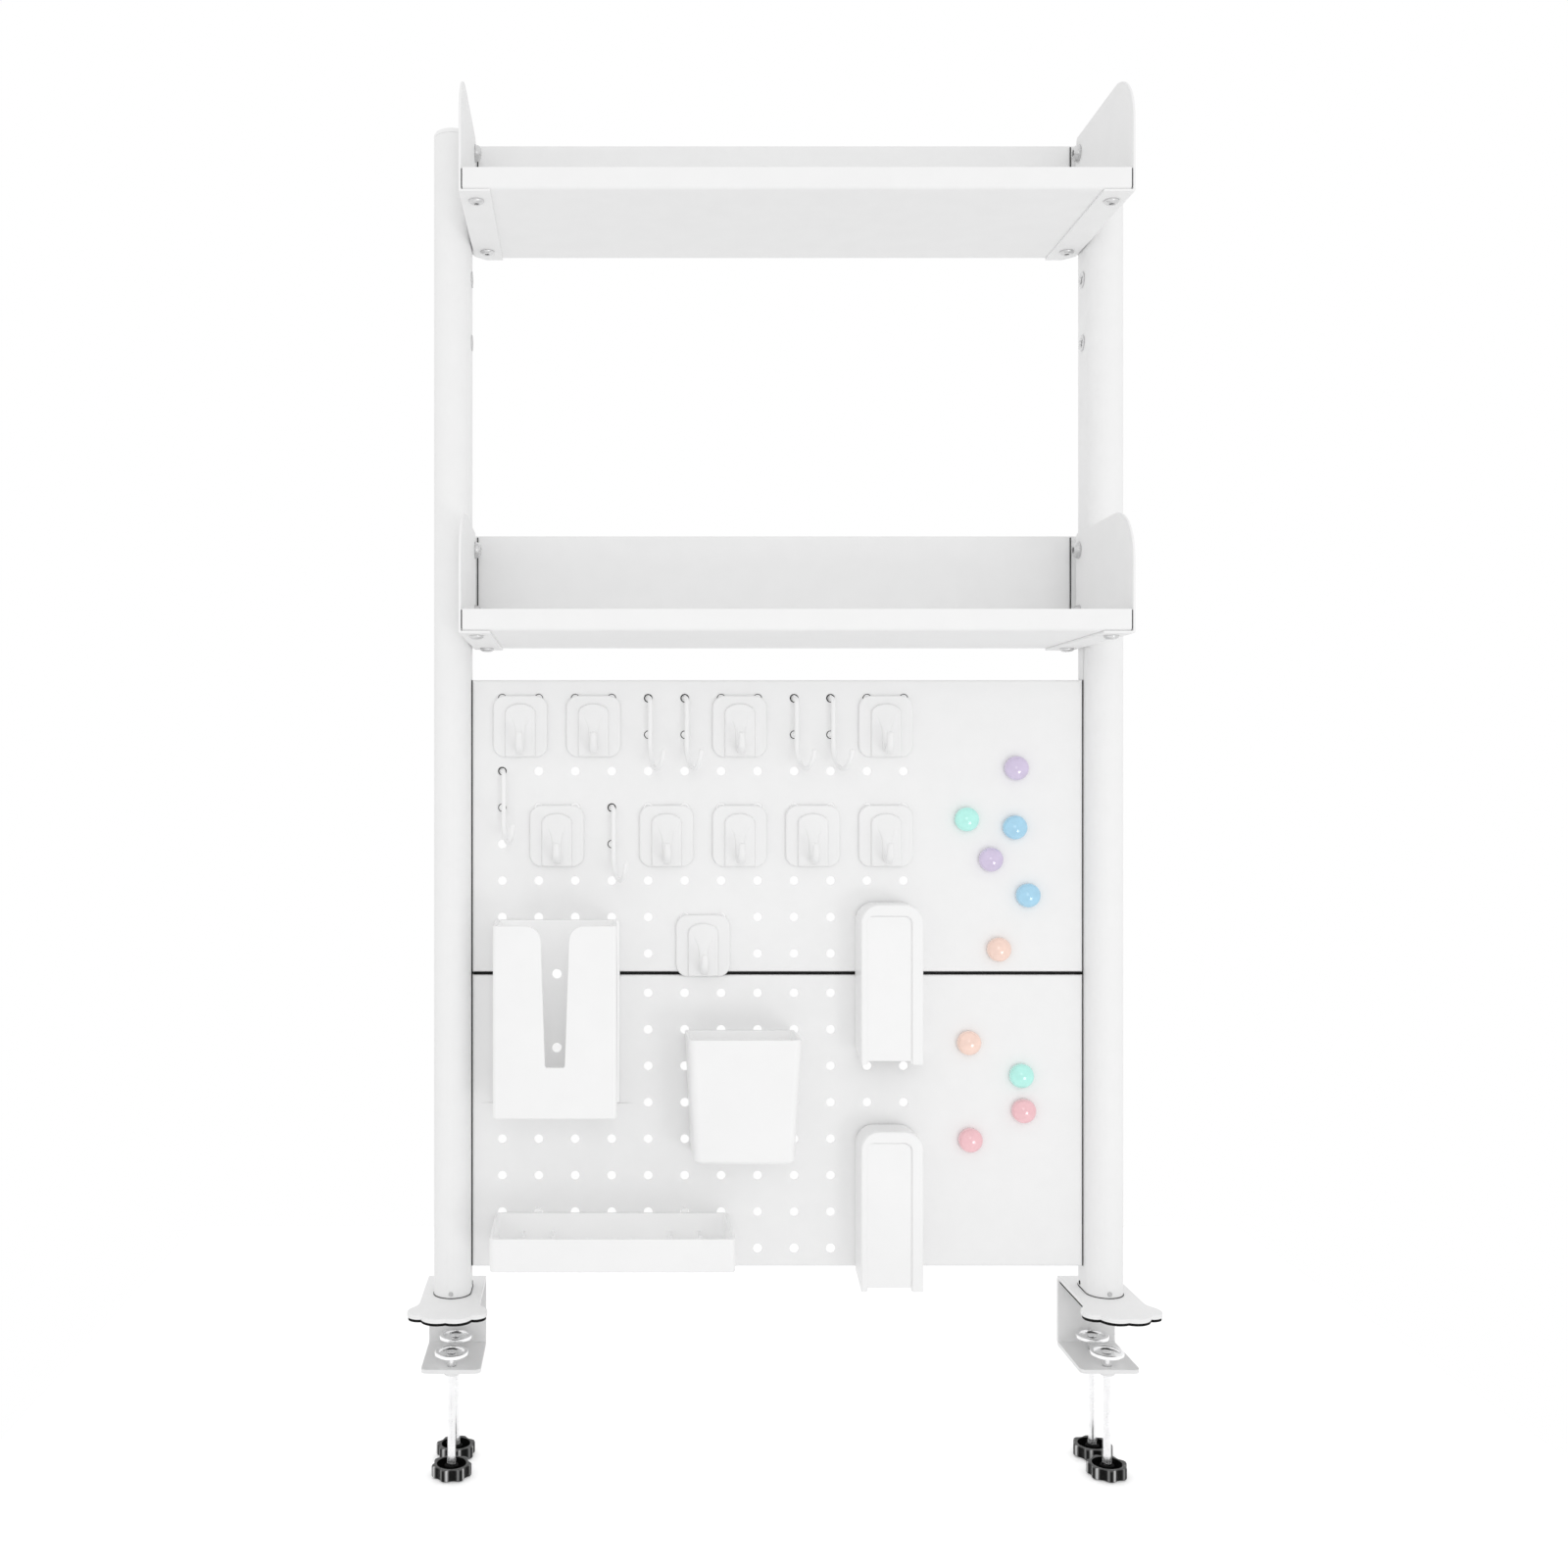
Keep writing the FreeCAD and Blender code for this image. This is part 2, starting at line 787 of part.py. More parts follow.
def make_side(side, base):
    """Return a shelf's side plate: an upright fin with a rounded front corner and a lower flange."""
    top = base + shelf_height
    rear = post_y + side_behind_bolt
    x_in = side * side_inner
    turn = side_corner_r * (1 - math.sqrt(0.5))
    corner = top - side_corner_r
    fin = prism(
        [
            Part.makeLine(v(x_in, shelf_front, base), v(x_in, shelf_front, corner)),
            Part.Arc(
                v(x_in, shelf_front, corner),
                v(x_in, shelf_front + turn, top - turn),
                v(x_in, shelf_front + side_corner_r, top),
            ).toShape(),
            Part.makeLine(v(x_in, shelf_front + side_corner_r, top), v(x_in, rear, top)),
            Part.makeLine(v(x_in, rear, top), v(x_in, rear, base)),
            Part.makeLine(v(x_in, rear, base), v(x_in, shelf_front, base)),
        ],
        v(side * side_sheet, 0, 0),
    )
    fin = round_edges(
        fin, side_rear_corner_r, lambda m, t: runs(t.x) and near(m.y, rear) and near(m.z, top)
    )
    flange_rear = shelf_rear - shelf_sheet
    outer = side * side_outer
    inner = side * (side_outer - side_flange)
    cut = side_flange_chamfer
    flange = polygon_prism(
        [
            v(inner, shelf_front, base),
            v(outer, shelf_front, base),
            v(outer, flange_rear - cut, base),
            v(outer - side * cut, flange_rear, base),
            v(inner, flange_rear, base),
        ],
        v(0, 0, side_sheet),
    )
    body = fin.fuse(flange).removeSplitter()
    body = round_edges(
        body,
        side_bend,
        lambda m, t: runs(t.y) and near(m.z, base) and near(abs(m.x), side_outer),
    )
    for z in (top - shelf_bolt_drop, top - shelf_bolt_drop - shelf_bolt_pitch):
        start = v(side * (side_inner - 1), post_y, z)
        body = body.cut(rod(m6_r + bolt_hole_fit, start, v(side, 0, 0), side_sheet + 2))
    for x, y in side_screw_places():
        body = body.cut(rod(m4_r + bolt_hole_fit, v(x, y, base - 1), v(0, 0, 1), side_sheet + 2))
    return body


def make_side_screws():
    """Return the M4 screws under both shelves."""
    screws = []
    grip = side_sheet + shelf_sheet + m4_nut_height * nut_grip_share
    for base in (upper_shelf_base, lower_shelf_base):
        for x, y in side_screw_places():
            seat = v(x, y, base)
            screws.append(socket_bolt(seat, v(0, 0, 1), m4_r, grip, m4_head_r, m4_head_height))
    return screws


# ---------------------------------------------------------------- pegboards


def make_board(bottom):
    """Return a pegboard: a perforated sheet with four flanges folded back."""
    top = bottom + board_height
    back = board_front + board_flange
    outer = block(v(-board_right, board_front, bottom), v(board_right, back, top))

    def front_edge(m, t):
        return near(m.y, board_front) and (runs(t.x) or runs(t.z))

    outer = round_edges(outer, board_bend, front_edge)
    inner = block(
        v(-board_right + board_sheet, board_front + board_sheet, bottom + board_sheet),
        v(board_right - board_sheet, back + 1, top - board_sheet),
    )
    sheet = outer.cut(inner)
    drills = []
    for column in range(1, columns + 1):
        for row in range(1, rows + 1):
            place = v(column_x(column), board_front - 1, row_z(bottom, row))
            drills.append(rod(hole_r, place, v(0, 1, 0), board_sheet + 2))
    for z in (bottom + board_bolt_inset, top - board_bolt_inset):
        start = v(-board_right - 1, board_bolt_y, z)
        drills.append(rod(m5_r + bolt_hole_fit, start, v(1, 0, 0), board_width + 2))
    return sheet.cut(drills)


# ---------------------------------------------------------------- what hangs on the boards


def pegs(places):
    """Return the pegs of a hanging piece, from its back plane through the board."""
    shapes = []
    for x, z in places:
        outline = [
            (0, 0),
            (peg_r, 0),
            (peg_r, peg_length - peg_tip),
            (peg_r - peg_tip, peg_length),
            (0, peg_length),
        ]
        shapes.append(lathe(outline, v(x, hang_y, z), v(0, 1, 0)))
    return shapes


def make_hook(column, row):
    """Return a square hook: plate with four pegs, arched boss and a curled prong."""
    x = (column_x(column) + column_x(column + 1)) / 2
    peg_rows = (row_z(upper_board_bottom, row), row_z(upper_board_bottom, row + 1))
    top = peg_rows[0] + hook_peg_drop
    bottom = top - hook_height
    middle = v(x, hang_y, (top + bottom) / 2)
    plate = rounded_plate(hook_width, hook_height, hook_corner_r, middle, hook_plate)
    face = hang_y - hook_plate
    plate = round_edges(plate, hook_edge, lambda m, t: near(m.y, face))
    arch_r = boss_width / 2
    crown = top - boss_drop
    foot = bottom + boss_foot
    left = v(x - arch_r, face, foot)
    right = v(x + arch_r, face, foot)
    left_up = v(x - arch_r, face, crown - arch_r * boss_shoulder)
    right_up = v(x + arch_r, face, crown - arch_r * boss_shoulder)
    boss = prism(
        [
            Part.makeLine(left, left_up),
            Part.Arc(left_up, v(x, face, crown), right_up).toShape(),
            Part.makeLine(right_up, right),
            Part.makeLine(right, left),
        ],
        v(0, -boss_rise, 0),
    )
    boss = round_edges(boss, boss_edge, lambda m, t: near(m.y, face - boss_rise))
    body = plate.fuse([boss, make_prong(x, top, face - boss_rise)])
    spots = [(column_x(c), z) for c in (column, column + 1) for z in peg_rows]
    return body.fuse(pegs(spots)).removeSplitter()


def make_prong(x, top, face):
    """Return a hook's prong: down from the boss, out, and up to a rounded tip."""
    root = top - prong_root_drop
    low = top - hook_height + prong_low
    tip = top - prong_tip_drop
    curl = prong_reach / 2
    inner = curl - prong_thick
    centre_y = face - curl
    centre_z = low + curl
    x_left = x - prong_width / 2

    def p(y, z):
        return v(x_left, y, z)

    shape = prism(
        [
            Part.makeLine(p(face, root), p(face - prong_thick, root - prong_thick)),
            Part.makeLine(p(face - prong_thick, root - prong_thick), p(centre_y + inner, centre_z)),
            Part.Arc(
                p(centre_y + inner, centre_z),
                p(centre_y, centre_z - inner),
                p(centre_y - inner, centre_z),
            ).toShape(),
            Part.makeLine(p(centre_y - inner, centre_z), p(centre_y - inner, tip - prong_thick / 2)),
            Part.Arc(
                p(centre_y - inner, tip - prong_thick / 2),
                p(centre_y - curl + prong_thick / 2, tip),
                p(centre_y - curl, tip - prong_thick / 2),
            ).toShape(),
            Part.makeLine(p(centre_y - curl, tip - prong_thick / 2), p(centre_y - curl, centre_z)),
            Part.Arc(
                p(centre_y - curl, centre_z),
                p(centre_y, centre_z - curl),
                p(centre_y + curl, centre_z),
            ).toShape(),
            Part.makeLine(p(centre_y + curl, centre_z), p(face, root)),
        ],
        v(prong_width, 0, 0),
    )
    rounded = shape.makeFillet(hook_edge, [e for e in shape.Edges if not is_across(e)])
    return rounded.fuse(block(p(face, low + curl), p(face + boss_rise, root) + v(prong_width, 0, 0)))


def is_across(edge):
    """Tell whether an edge runs along X."""
    return runs(edge.tangentAt(edge.FirstParameter).x)


def make_wire_hook(column, row):
    """Return a wire hook: lock behind the board, stem with a plug for the next hole, and a J."""
    x = column_x(column)
    z = row_z(upper_board_bottom, row)
    u_r = wire_reach / 2
    behind = wire_stand + board_sheet + wire_back
    bend = wire_bend
    tilt = bend * (1 - math.sqrt(0.5))
    lock_y = behind - wire_stand
    bottom = -wire_drop + wire_r

    def p(y, h):
        return v(0, y, h)

    stem_y = -wire_stand
    u_top = bottom + u_r
    tip_turn = math.radians(wire_tip_angle)
    tip = p(stem_y - u_r - u_r * math.sin(tip_turn), u_top - u_r * math.cos(tip_turn))
    path = [
        Part.makeLine(p(lock_y, wire_lock), p(lock_y, bend)),
        Part.Arc(p(lock_y, bend), p(lock_y - tilt, tilt), p(lock_y - bend, 0)).toShape(),
        Part.makeLine(p(lock_y - bend, 0), p(stem_y + bend, 0)),
        Part.Arc(p(stem_y + bend, 0), p(stem_y + tilt, -tilt), p(stem_y, -bend)).toShape(),
        Part.makeLine(p(stem_y, -bend), p(stem_y, u_top)),
        Part.Arc(p(stem_y, u_top), p(stem_y - u_r, bottom), tip).toShape(),
    ]
    start = path[0].Vertexes[0].Point
    section = Part.Wire(Part.makeCircle(wire_r, start, v(0, 0, -1)))
    wire = Part.Wire(path).makePipeShell([section], True, False)
    wire = wire.fuse([Part.makeSphere(wire_r, start), Part.makeSphere(wire_r, tip)])
    wire = wire.removeSplitter()
    wire.rotate(v(0, stem_y, 0), v(0, 0, 1), wire_turn)
    shift = (wire_stand + board_sheet / 2) * math.sin(math.radians(wire_turn))
    wire.translate(v(x + shift, board_front, z))
    next_z = row_z(upper_board_bottom, row + 1)
    plug_y = board_front - wire_plug_proud
    plug = rod(wire_plug_r, v(x, plug_y, next_z), v(0, 1, 0), wire_plug_proud + wire_plug_sunk)
    neck = rod(
        wire_neck_r, v(x + wire_neck_side, board_front + stem_y, next_z), v(0, 1, 0), wire_stand
    )
    return wire.fuse([neck, plug]).removeSplitter()


def box_x():
    """Return the middle of the slotted box: between columns 2 and 3."""
    return (column_x(2) + column_x(3)) / 2


def make_slot_box():
    """Return the slotted box: open top, slot with round shoulders in front, two magnet holes."""
    x = box_x()
    half = slot_box_width / 2
    top = slot_box_bottom + slot_box_height
    front = hang_y - slot_box_depth
    outer = block(v(x - half, front, slot_box_bottom), v(x + half, hang_y, top))
    outer = round_edges(outer, slot_box_corner_r, lambda m, t: runs(t.z) and near(m.y, front))
    outer = round_edges(outer, slot_box_foot_r, lambda m, t: near(m.z, slot_box_bottom))
    wide = half + slot_box_flange
    back = v(x, hang_y, (slot_box_bottom + top) / 2)
    flange = rounded_plate(2 * wide, slot_box_height, slot_box_corner_r, back, slot_box_wall)
    inner = block(
        v(x - half + slot_box_wall, front + slot_box_wall, slot_box_bottom + slot_box_wall),
        v(x + half - slot_box_wall, hang_y - slot_box_back, top + 1),
    )
    inner = round_edges(
        inner, slot_box_corner_r / 2, lambda m, t: runs(t.z) or near(m.z, inner.BoundBox.ZMin)
    )
    body = outer.fuse(flange).removeSplitter().cut(inner)
    body = body.cut(slot_cutter(x, top, front))
    for z in box_magnet_heights():
        start = v(x, hang_y + 1, z)
        body = body.cut(rod(box_magnet_r + box_magnet_fit, start, v(0, -1, 0), slot_box_back + 2))
    return body


def box_magnet_heights():
    """Return the heights of the two magnets in the slotted box's back."""
    low = slot_box_bottom + box_magnet_low
    return (low, low + box_magnet_spacing)


def slot_cutter(x, top, front):
    """Return what the slot takes away from the box's front wall."""
    low = slot_box_bottom + slot_floor
    neck = top - slot_shoulder_r
    a = slot_top_width / 2
    b = slot_low_width / 2
    r = slot_shoulder_r
    turn = r * math.sqrt(0.5)
    y = front - 1

    def p(side_x, z):
        return v(x + side_x, y, z)

    edges = [
        Part.makeLine(p(-b, low), p(-a, neck)),
        Part.Arc(p(-a, neck), p(-a - r + turn, neck + turn), p(-a - r, top)).toShape(),
        Part.makeLine(p(-a - r, top), p(-a - r, top + 1)),
        Part.makeLine(p(-a - r, top + 1), p(a + r, top + 1)),
        Part.makeLine(p(a + r, top + 1), p(a + r, top)),
        Part.Arc(p(a + r, top), p(a + r - turn, neck + turn), p(a, neck)).toShape(),
        Part.makeLine(p(a, neck), p(b, low)),
        Part.makeLine(p(b, low), p(-b, low)),
    ]
    cutter = prism(edges, v(0, slot_box_wall + 2, 0))
    return round_edges(cutter, slot_corner_r, lambda m, t: runs(t.y) and near(m.z, low))


def make_box_magnets():
    """Return the round magnets that hold the slotted box on the board."""
    length = slot_box_back
    x = box_x()
    return [rod(box_magnet_r, v(x, hang_y, z), v(0, -1, 0), length) for z in box_magnet_heights()]


def tub_outline(x, half, depth, z, front_r, back_r):
    """Return the outline of a tub seen from above, flat against the board."""
    rear = hang_y
    front = hang_y - depth

    def corner(cx, cy, r, start):
        centre = v(cx, cy, z)
        points = []
        for turn in (0, math.pi / 4, math.pi / 2):
            angle = start + turn
            points.append(centre + v(r * math.cos(angle), r * math.sin(angle), 0))
        return points

    spots = [
        corner(x + half - back_r, rear - back_r, back_r, 0),
        corner(x - half + back_r, rear - back_r, back_r, math.pi / 2),
        corner(x - half + front_r, front + front_r, front_r, math.pi),
        corner(x + half - front_r, front + front_r, front_r, -math.pi / 2),
    ]
    edges = []
    for i, (a, b, c) in enumerate(spots):
        edges.append(Part.Arc(a, b, c).toShape())
        edges.append(Part.makeLine(c, spots[(i + 1) % 4][0]))
    return Part.Wire(edges)


def make_cup():
    """Return the pen cup: a tub that tapers downwards, flat against the board."""
    x = (column_x(cup_columns[0]) + column_x(cup_columns[1])) / 2
    low = cup_bottom()
    top = low + cup_height
    foot = low + cup_foot_chamfer
    wall = cup_wall
    cut = cup_foot_chamfer
    outer_top = tub_outline(x, cup_top_width / 2, cup_top_depth, top, cup_corner_r, cup_back_r)
    outer_low = tub_outline(x, cup_low_width / 2, cup_low_depth, foot, cup_corner_r, cup_back_r)
    outer_foot = tub_outline(
        x, cup_low_width / 2 - cut, cup_low_depth - cut, low, cup_corner_r, cup_back_r
    )
    outer = Part.makeLoft([outer_foot, outer_low, outer_top], True, True)
    inner_r = cup_corner_r - wall
    rise = (cup_height - wall) / (cup_height - cut)
    low_half = cup_top_width / 2 - (cup_top_width - cup_low_width) / 2 * rise - wall
    low_depth = cup_top_depth - (cup_top_depth - cup_low_depth) * rise - 2 * wall
    top_half = cup_top_width / 2 - wall
    top_depth = cup_top_depth - 2 * wall
    inner_top = tub_outline(x, top_half, top_depth, top, inner_r, cup_inner_back_r)
    inner_low = tub_outline(x, low_half, low_depth, low + wall, inner_r, cup_inner_back_r)
    inner = Part.makeLoft([inner_low, inner_top], True, True)
    inner.translate(v(0, -wall, 0))
    body = outer.cut(inner)
    spots = [(column_x(c), row_z(board_bottom, r)) for c in cup_columns for r in cup_rows]
    return body.fuse(pegs(spots))


def cup_bottom():
    """Return the height of the pen cup's lower face."""
    return row_z(board_bottom, cup_rows[0]) + cup_above_row - cup_height


def make_tray():
    """Return the long tray with small ribs beside its two pegs."""
    x = (column_x(tray_columns[0]) + column_x(tray_columns[1])) / 2
    top = row_z(board_bottom, tray_row) + tray_above_row
    low = top - tray_height
    half = tray_width / 2
    wall = tray_wall
    outer = Part.Face(tub_outline(x, half, tray_depth, low, tray_corner_r, tray_corner_r))
    outer = outer.extrude(v(0, 0, tray_height))
    outer = round_edges(outer, tray_foot_r, lambda m, t: near(m.z, low))
    inner_r = tray_corner_r - wall
    inner = Part.Face(
        tub_outline(x, half - wall, tray_depth - 2 * wall, low + wall, inner_r, inner_r)
    ).extrude(v(0, 0, tray_height))
    inner.translate(v(0, -wall, 0))
    body = outer.cut(inner)
    for column in tray_columns:
        for shift in (-tray_rib_half, tray_rib_half):
            centre = column_x(column) + shift
            rib = block(
                v(centre - tray_rib / 2, hang_y - wall - tray_rib_depth, low + wall / 2),
                v(centre + tray_rib / 2, hang_y - wall / 2, low + wall + tray_rib_height),
            )
            body = body.fuse(rib)
    peg_z = row_z(board_bottom, tray_row)
    return body.fuse(pegs([(column_x(c), peg_z) for c in tray_columns])).removeSplitter()


def arch(low, high, r, thickness):
    """Return an upright plate with round upper corners, between its lower left and upper right points."""
    y = low.y
    spring = high.z - r
    turn = r * (1 - math.sqrt(0.5))
    left_arc = Part.Arc(
        v(low.x, y, spring), v(low.x + turn, y, high.z - turn), v(low.x + r, y, high.z)
    )
    right_arc = Part.Arc(
        v(high.x - r, y, high.z), v(high.x - turn, y, high.z - turn), v(high.x, y, spring)
    )
    return prism(
        [
            Part.makeLine(v(low.x, y, low.z), v(low.x, y, spring)),
            left_arc.toShape(),
            Part.makeLine(v(low.x + r, y, high.z), v(high.x - r, y, high.z)),
            right_arc.toShape(),
            Part.makeLine(v(high.x, y, spring), v(high.x, y, low.z)),
            Part.makeLine(v(high.x, y, low.z), v(low.x, y, low.z)),
        ],
        v(0, thickness, 0),
    )


def make_holder(bottom, row):
    """Return an arch-topped holder: hollow, open below between two legs, on a back plate."""
    x = (column_x(holder_columns[0]) + column_x(holder_columns[1])) / 2
    top = row_z(bottom, row) + holder_above_row
    low = top - holder_height
    half = holder_width / 2
    front = hang_y - holder_depth
    rear = hang_y - holder_back
    body = arch(v(x - half, front, low), v(x + half, front, top), holder_top_r, rear - front)
    body = round_edges(body, holder_edge_r, lambda m, t: near(m.y, front) and m.z > low + 1)
    wall = holder_wall
    hollow = arch(
        v(x - half + wall, front + wall, low - 1),
        v(x + half - wall, front + wall, top - wall),
        holder_top_r - wall,
        rear - front,
    )
    slant = polygon_prism(
        [
            v(x - half - 1, front - 1, low),
            v(x - half - 1, rear + 1, low + holder_slant),
            v(x - half - 1, rear + 1, low - 1),
            v(x - half - 1, front - 1, low - 1),
        ],
        v(holder_width + 2, 0, 0),
    )
    panel_left_x = x - half + panel_left
    panel_corner = v(x + half - panel_right, front - 1, top - panel_top)
    recess = arch(v(panel_left_x, front - 1, low - 1), panel_corner, panel_corner_r, 1 + panel_recess)
    groove = arch(
        v(panel_left_x, front - 1, low + leg_height + panel_groove),
        panel_corner,
        panel_corner_r,
        1 + panel_recess + panel_groove_depth,
    )
    groove_core = groove.copy()
    groove_core.translate(v(-panel_groove, 0, -panel_groove / 2))
    mouth = block(
        v(x - half + leg_width, front - 1, low - 1),
        v(x + half - panel_right - panel_groove, rear + 1, low + leg_height),
    )
    body = body.cut([hollow, slant, recess, mouth])
    body = body.cut(groove.cut(groove_core))
    plate_low = low + holder_slant
    plate_top_z = top - holder_back_drop
    centre = v(x, hang_y, (plate_low + plate_top_z) / 2)
    plate = rounded_plate(
        holder_width, plate_top_z - plate_low, holder_back_corner_r, centre, holder_back
    )
    body = body.fuse(plate)
    spots = [(column_x(c), row_z(bottom, row)) for c in holder_columns]
    return body.fuse(pegs(spots)).removeSplitter()


def make_magnets(name):
    """Return the magnets of one colour: round, with a domed front."""
    shapes = []
    for from_right, height in magnet_places[name]:
        rim = magnet_edge_r * (1 - math.sqrt(0.5))
        r = magnet_r
        h = magnet_height
        edge = magnet_edge_r
        outline = Part.Wire(
            [
                Part.makeLine(v(0, 0, 0), v(r, 0, 0)),
                Part.makeLine(v(r, 0, 0), v(r, 0, h - edge)),
                Part.Arc(v(r, 0, h - edge), v(r - rim, 0, h - rim), v(r - edge, 0, h)).toShape(),
                Part.makeLine(v(r - edge, 0, h), v(0, 0, h)),
                Part.makeLine(v(0, 0, h), v(0, 0, 0)),
            ]
        )
        shape = Part.Face(outline).revolve(v(0, 0, 0), v(0, 0, 1), 360)
        place = v(board_right - from_right, hang_y, board_bottom + height)
        shape.Placement = FreeCAD.Placement(place, FreeCAD.Rotation(v(0, 0, 1), v(0, -1, 0)))
        shapes.append(shape)
    return shapes


# ---------------------------------------------------------------- all pieces


def build():
    """Return every sub-part as a name and its solids."""
    pieces = {
        "upper_pegboard": [make_board(upper_board_bottom)],
        "lower_pegboard": [make_board(board_bottom)],
        "upper_shelf_deck": [make_deck(upper_shelf_base)],
        "lower_shelf_deck": [make_deck(lower_shelf_base)],
        "shelf_side_screws": make_side_screws(),
        "shelf_post_bolts": make_shelf_bolts(),
        "pegboard_bolts": make_board_bolts(),
        "post_rivet_nuts": make_rivet_nuts(),
        "post_foot_screws": make_foot_screws(),
    }
    for name, side in sides.items():
        pieces[f"{name}_post"] = [make_post(side)]
        pieces[f"{name}_post_cap"] = [make_post_cap(side)]
        pieces[f"upper_shelf_{name}_side"] = [make_side(side, upper_shelf_base)]
        pieces[f"lower_shelf_{name}_side"] = [make_side(side, lower_shelf_base)]
        pieces[f"{name}_clamp_bracket"] = [make_bracket(side)]
        pieces[f"{name}_desk_pad"] = [make_desk_pad(side)]
        for place, y in rod_ys.items():
            x = side * post_x
            pieces[f"{name}_{place}_press_disc"] = [make_disc(x, y)]
            pieces[f"{name}_{place}_clamp_rod"] = [make_rod(x, y)]
            pieces[f"{name}_{place}_clamp_knob"] = [make_knob(x, y)]
    for i, (column, row) in enumerate(hook_places, 1):
        pieces[f"square_hook_{i:02d}"] = [make_hook(column, row)]
    for i, (column, row) in enumerate(wire_hook_places, 1):
        pieces[f"wire_hook_{i}"] = [make_wire_hook(column, row)]
    pieces["slotted_box"] = [make_slot_box()]
    pieces["slotted_box_magnets"] = make_box_magnets()
    pieces["pen_cup"] = [make_cup()]
    pieces["long_tray"] = [make_tray()]
    pieces["upper_tall_holder"] = [make_holder(upper_board_bottom, rows)]
    pieces["lower_tall_holder"] = [make_holder(board_bottom, lower_holder_row)]
    for name in magnet_places:
        pieces[name] = make_magnets(name)
    return pieces


def main():
    """Build every sub-part and write its file."""
    os.makedirs("parts", exist_ok=True)
    for name, solids in build().items():
        save(name, solids)


if __name__ == "__main__":
    main()
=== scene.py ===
import math

import bmesh
import bpy
from mathutils import Matrix, Vector
from mathutils.bvhtree import BVHTree


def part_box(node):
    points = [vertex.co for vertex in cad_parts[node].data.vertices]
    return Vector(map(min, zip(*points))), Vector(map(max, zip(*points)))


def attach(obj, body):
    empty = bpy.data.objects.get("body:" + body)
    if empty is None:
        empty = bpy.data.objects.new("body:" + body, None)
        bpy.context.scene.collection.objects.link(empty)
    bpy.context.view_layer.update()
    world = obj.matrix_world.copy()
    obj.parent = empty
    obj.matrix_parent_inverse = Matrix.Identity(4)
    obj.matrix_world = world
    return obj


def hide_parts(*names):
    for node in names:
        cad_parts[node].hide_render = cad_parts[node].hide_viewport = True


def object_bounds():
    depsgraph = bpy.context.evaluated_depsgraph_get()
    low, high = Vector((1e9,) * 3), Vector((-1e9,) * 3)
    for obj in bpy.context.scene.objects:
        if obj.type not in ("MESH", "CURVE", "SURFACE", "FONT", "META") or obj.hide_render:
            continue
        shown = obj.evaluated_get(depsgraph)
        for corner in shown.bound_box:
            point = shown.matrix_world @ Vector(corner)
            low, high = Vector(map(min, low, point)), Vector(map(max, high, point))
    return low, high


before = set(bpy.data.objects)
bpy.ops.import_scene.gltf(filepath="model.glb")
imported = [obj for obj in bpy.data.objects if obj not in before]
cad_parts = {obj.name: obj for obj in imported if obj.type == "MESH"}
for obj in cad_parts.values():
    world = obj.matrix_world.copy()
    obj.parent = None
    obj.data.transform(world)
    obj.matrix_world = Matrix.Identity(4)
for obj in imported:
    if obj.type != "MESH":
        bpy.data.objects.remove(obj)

bl_info = {
    "name": "Clamp-on pegboard desk organizer",
    "version": (1, 0, 0),
    "blender": (4, 5, 0),
    "location": "View3D > Sidebar > Organizer",
    "description": "Builds the finish of a desk organizer around its packed frame",
    "category": "Add Mesh",
}

MM = 0.001
CAD_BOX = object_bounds()
FIXED_BODY = "organizer"
SIDES = {"left": -1, "right": 1}
SAME_POINT = 0.01 * MM
WHITE = (1.0, 1.0, 1.0, 1.0)
LEVELS = ("upper", "lower")

# Places on the frame, in millimetres.
POST_X = 222.5
POST_Y = -31.0
POST_FACE = 210.0
POST_HALF_WIDTH = 12.5
POST_HALF_DEPTH = 20.0
FOOT_SCREW_Z = 8.0
BOARD_BOLT_Y = -28.5
SHELF_SEAT = 207.7
BOARD_SEAT = 208.0
SIDE_SCREW_X = 199.3
SIDE_SCREW_Y = (-125.4, -31.3)
SIDE_FOOT_Y = -25.0
SHELF_BASE_Z = {"upper": 719.0, "lower": 446.0}
SHELF_SHEET = 1.5
SHELF_BOLT_Z = (786.5, 743.0, 513.5, 470.0)
FREE_NUT_Z = (699.5, 656.0)
BOARD_BOLT_Z = (72.0, 172.0, 274.0, 374.0)

# Peg holes of one board, in millimetres from its lower left corner.
PEG_COLUMNS = 12
PEG_ROWS = 8
FIRST_COLUMN = 20.5
FIRST_ROW = 12.5

# Clamp screws, in millimetres; the turns of the knobs are in radians.
KNOB_TURNS = {"left_rear": 0.35, "left_front": -0.1, "right_rear": 0.62, "right_front": 0.15}
KNOB_LOBES = 7
DISC_THICK = 3.0
DISC_BOSS = 1.5
DISH_DEPTH = 1.4
ROD_PLAY = 0.15

# Square hooks, in millimetres from the middle of a plate's back; a peg's length goes backwards.
HOOK_COUNT = 10
HOOK_HALF_HEIGHT = 21.0
HOOK_PEG = 5.0
HOOK_PEG_X = 12.5
HOOK_PEG_Z = (19.4, -5.6)

# Wire hooks: each one's hole column and row from the upper board's top left, and how far its
# stem stands off and is shifted, in millimetres.
WIRE_SPOTS = ((5, 1), (6, 1), (9, 1), (10, 1), (1, 3), (4, 4))
WIRE_STAND = 4.5
WIRE_SHIFT = 0.6
WIRE_TURN = math.radians(14.0)

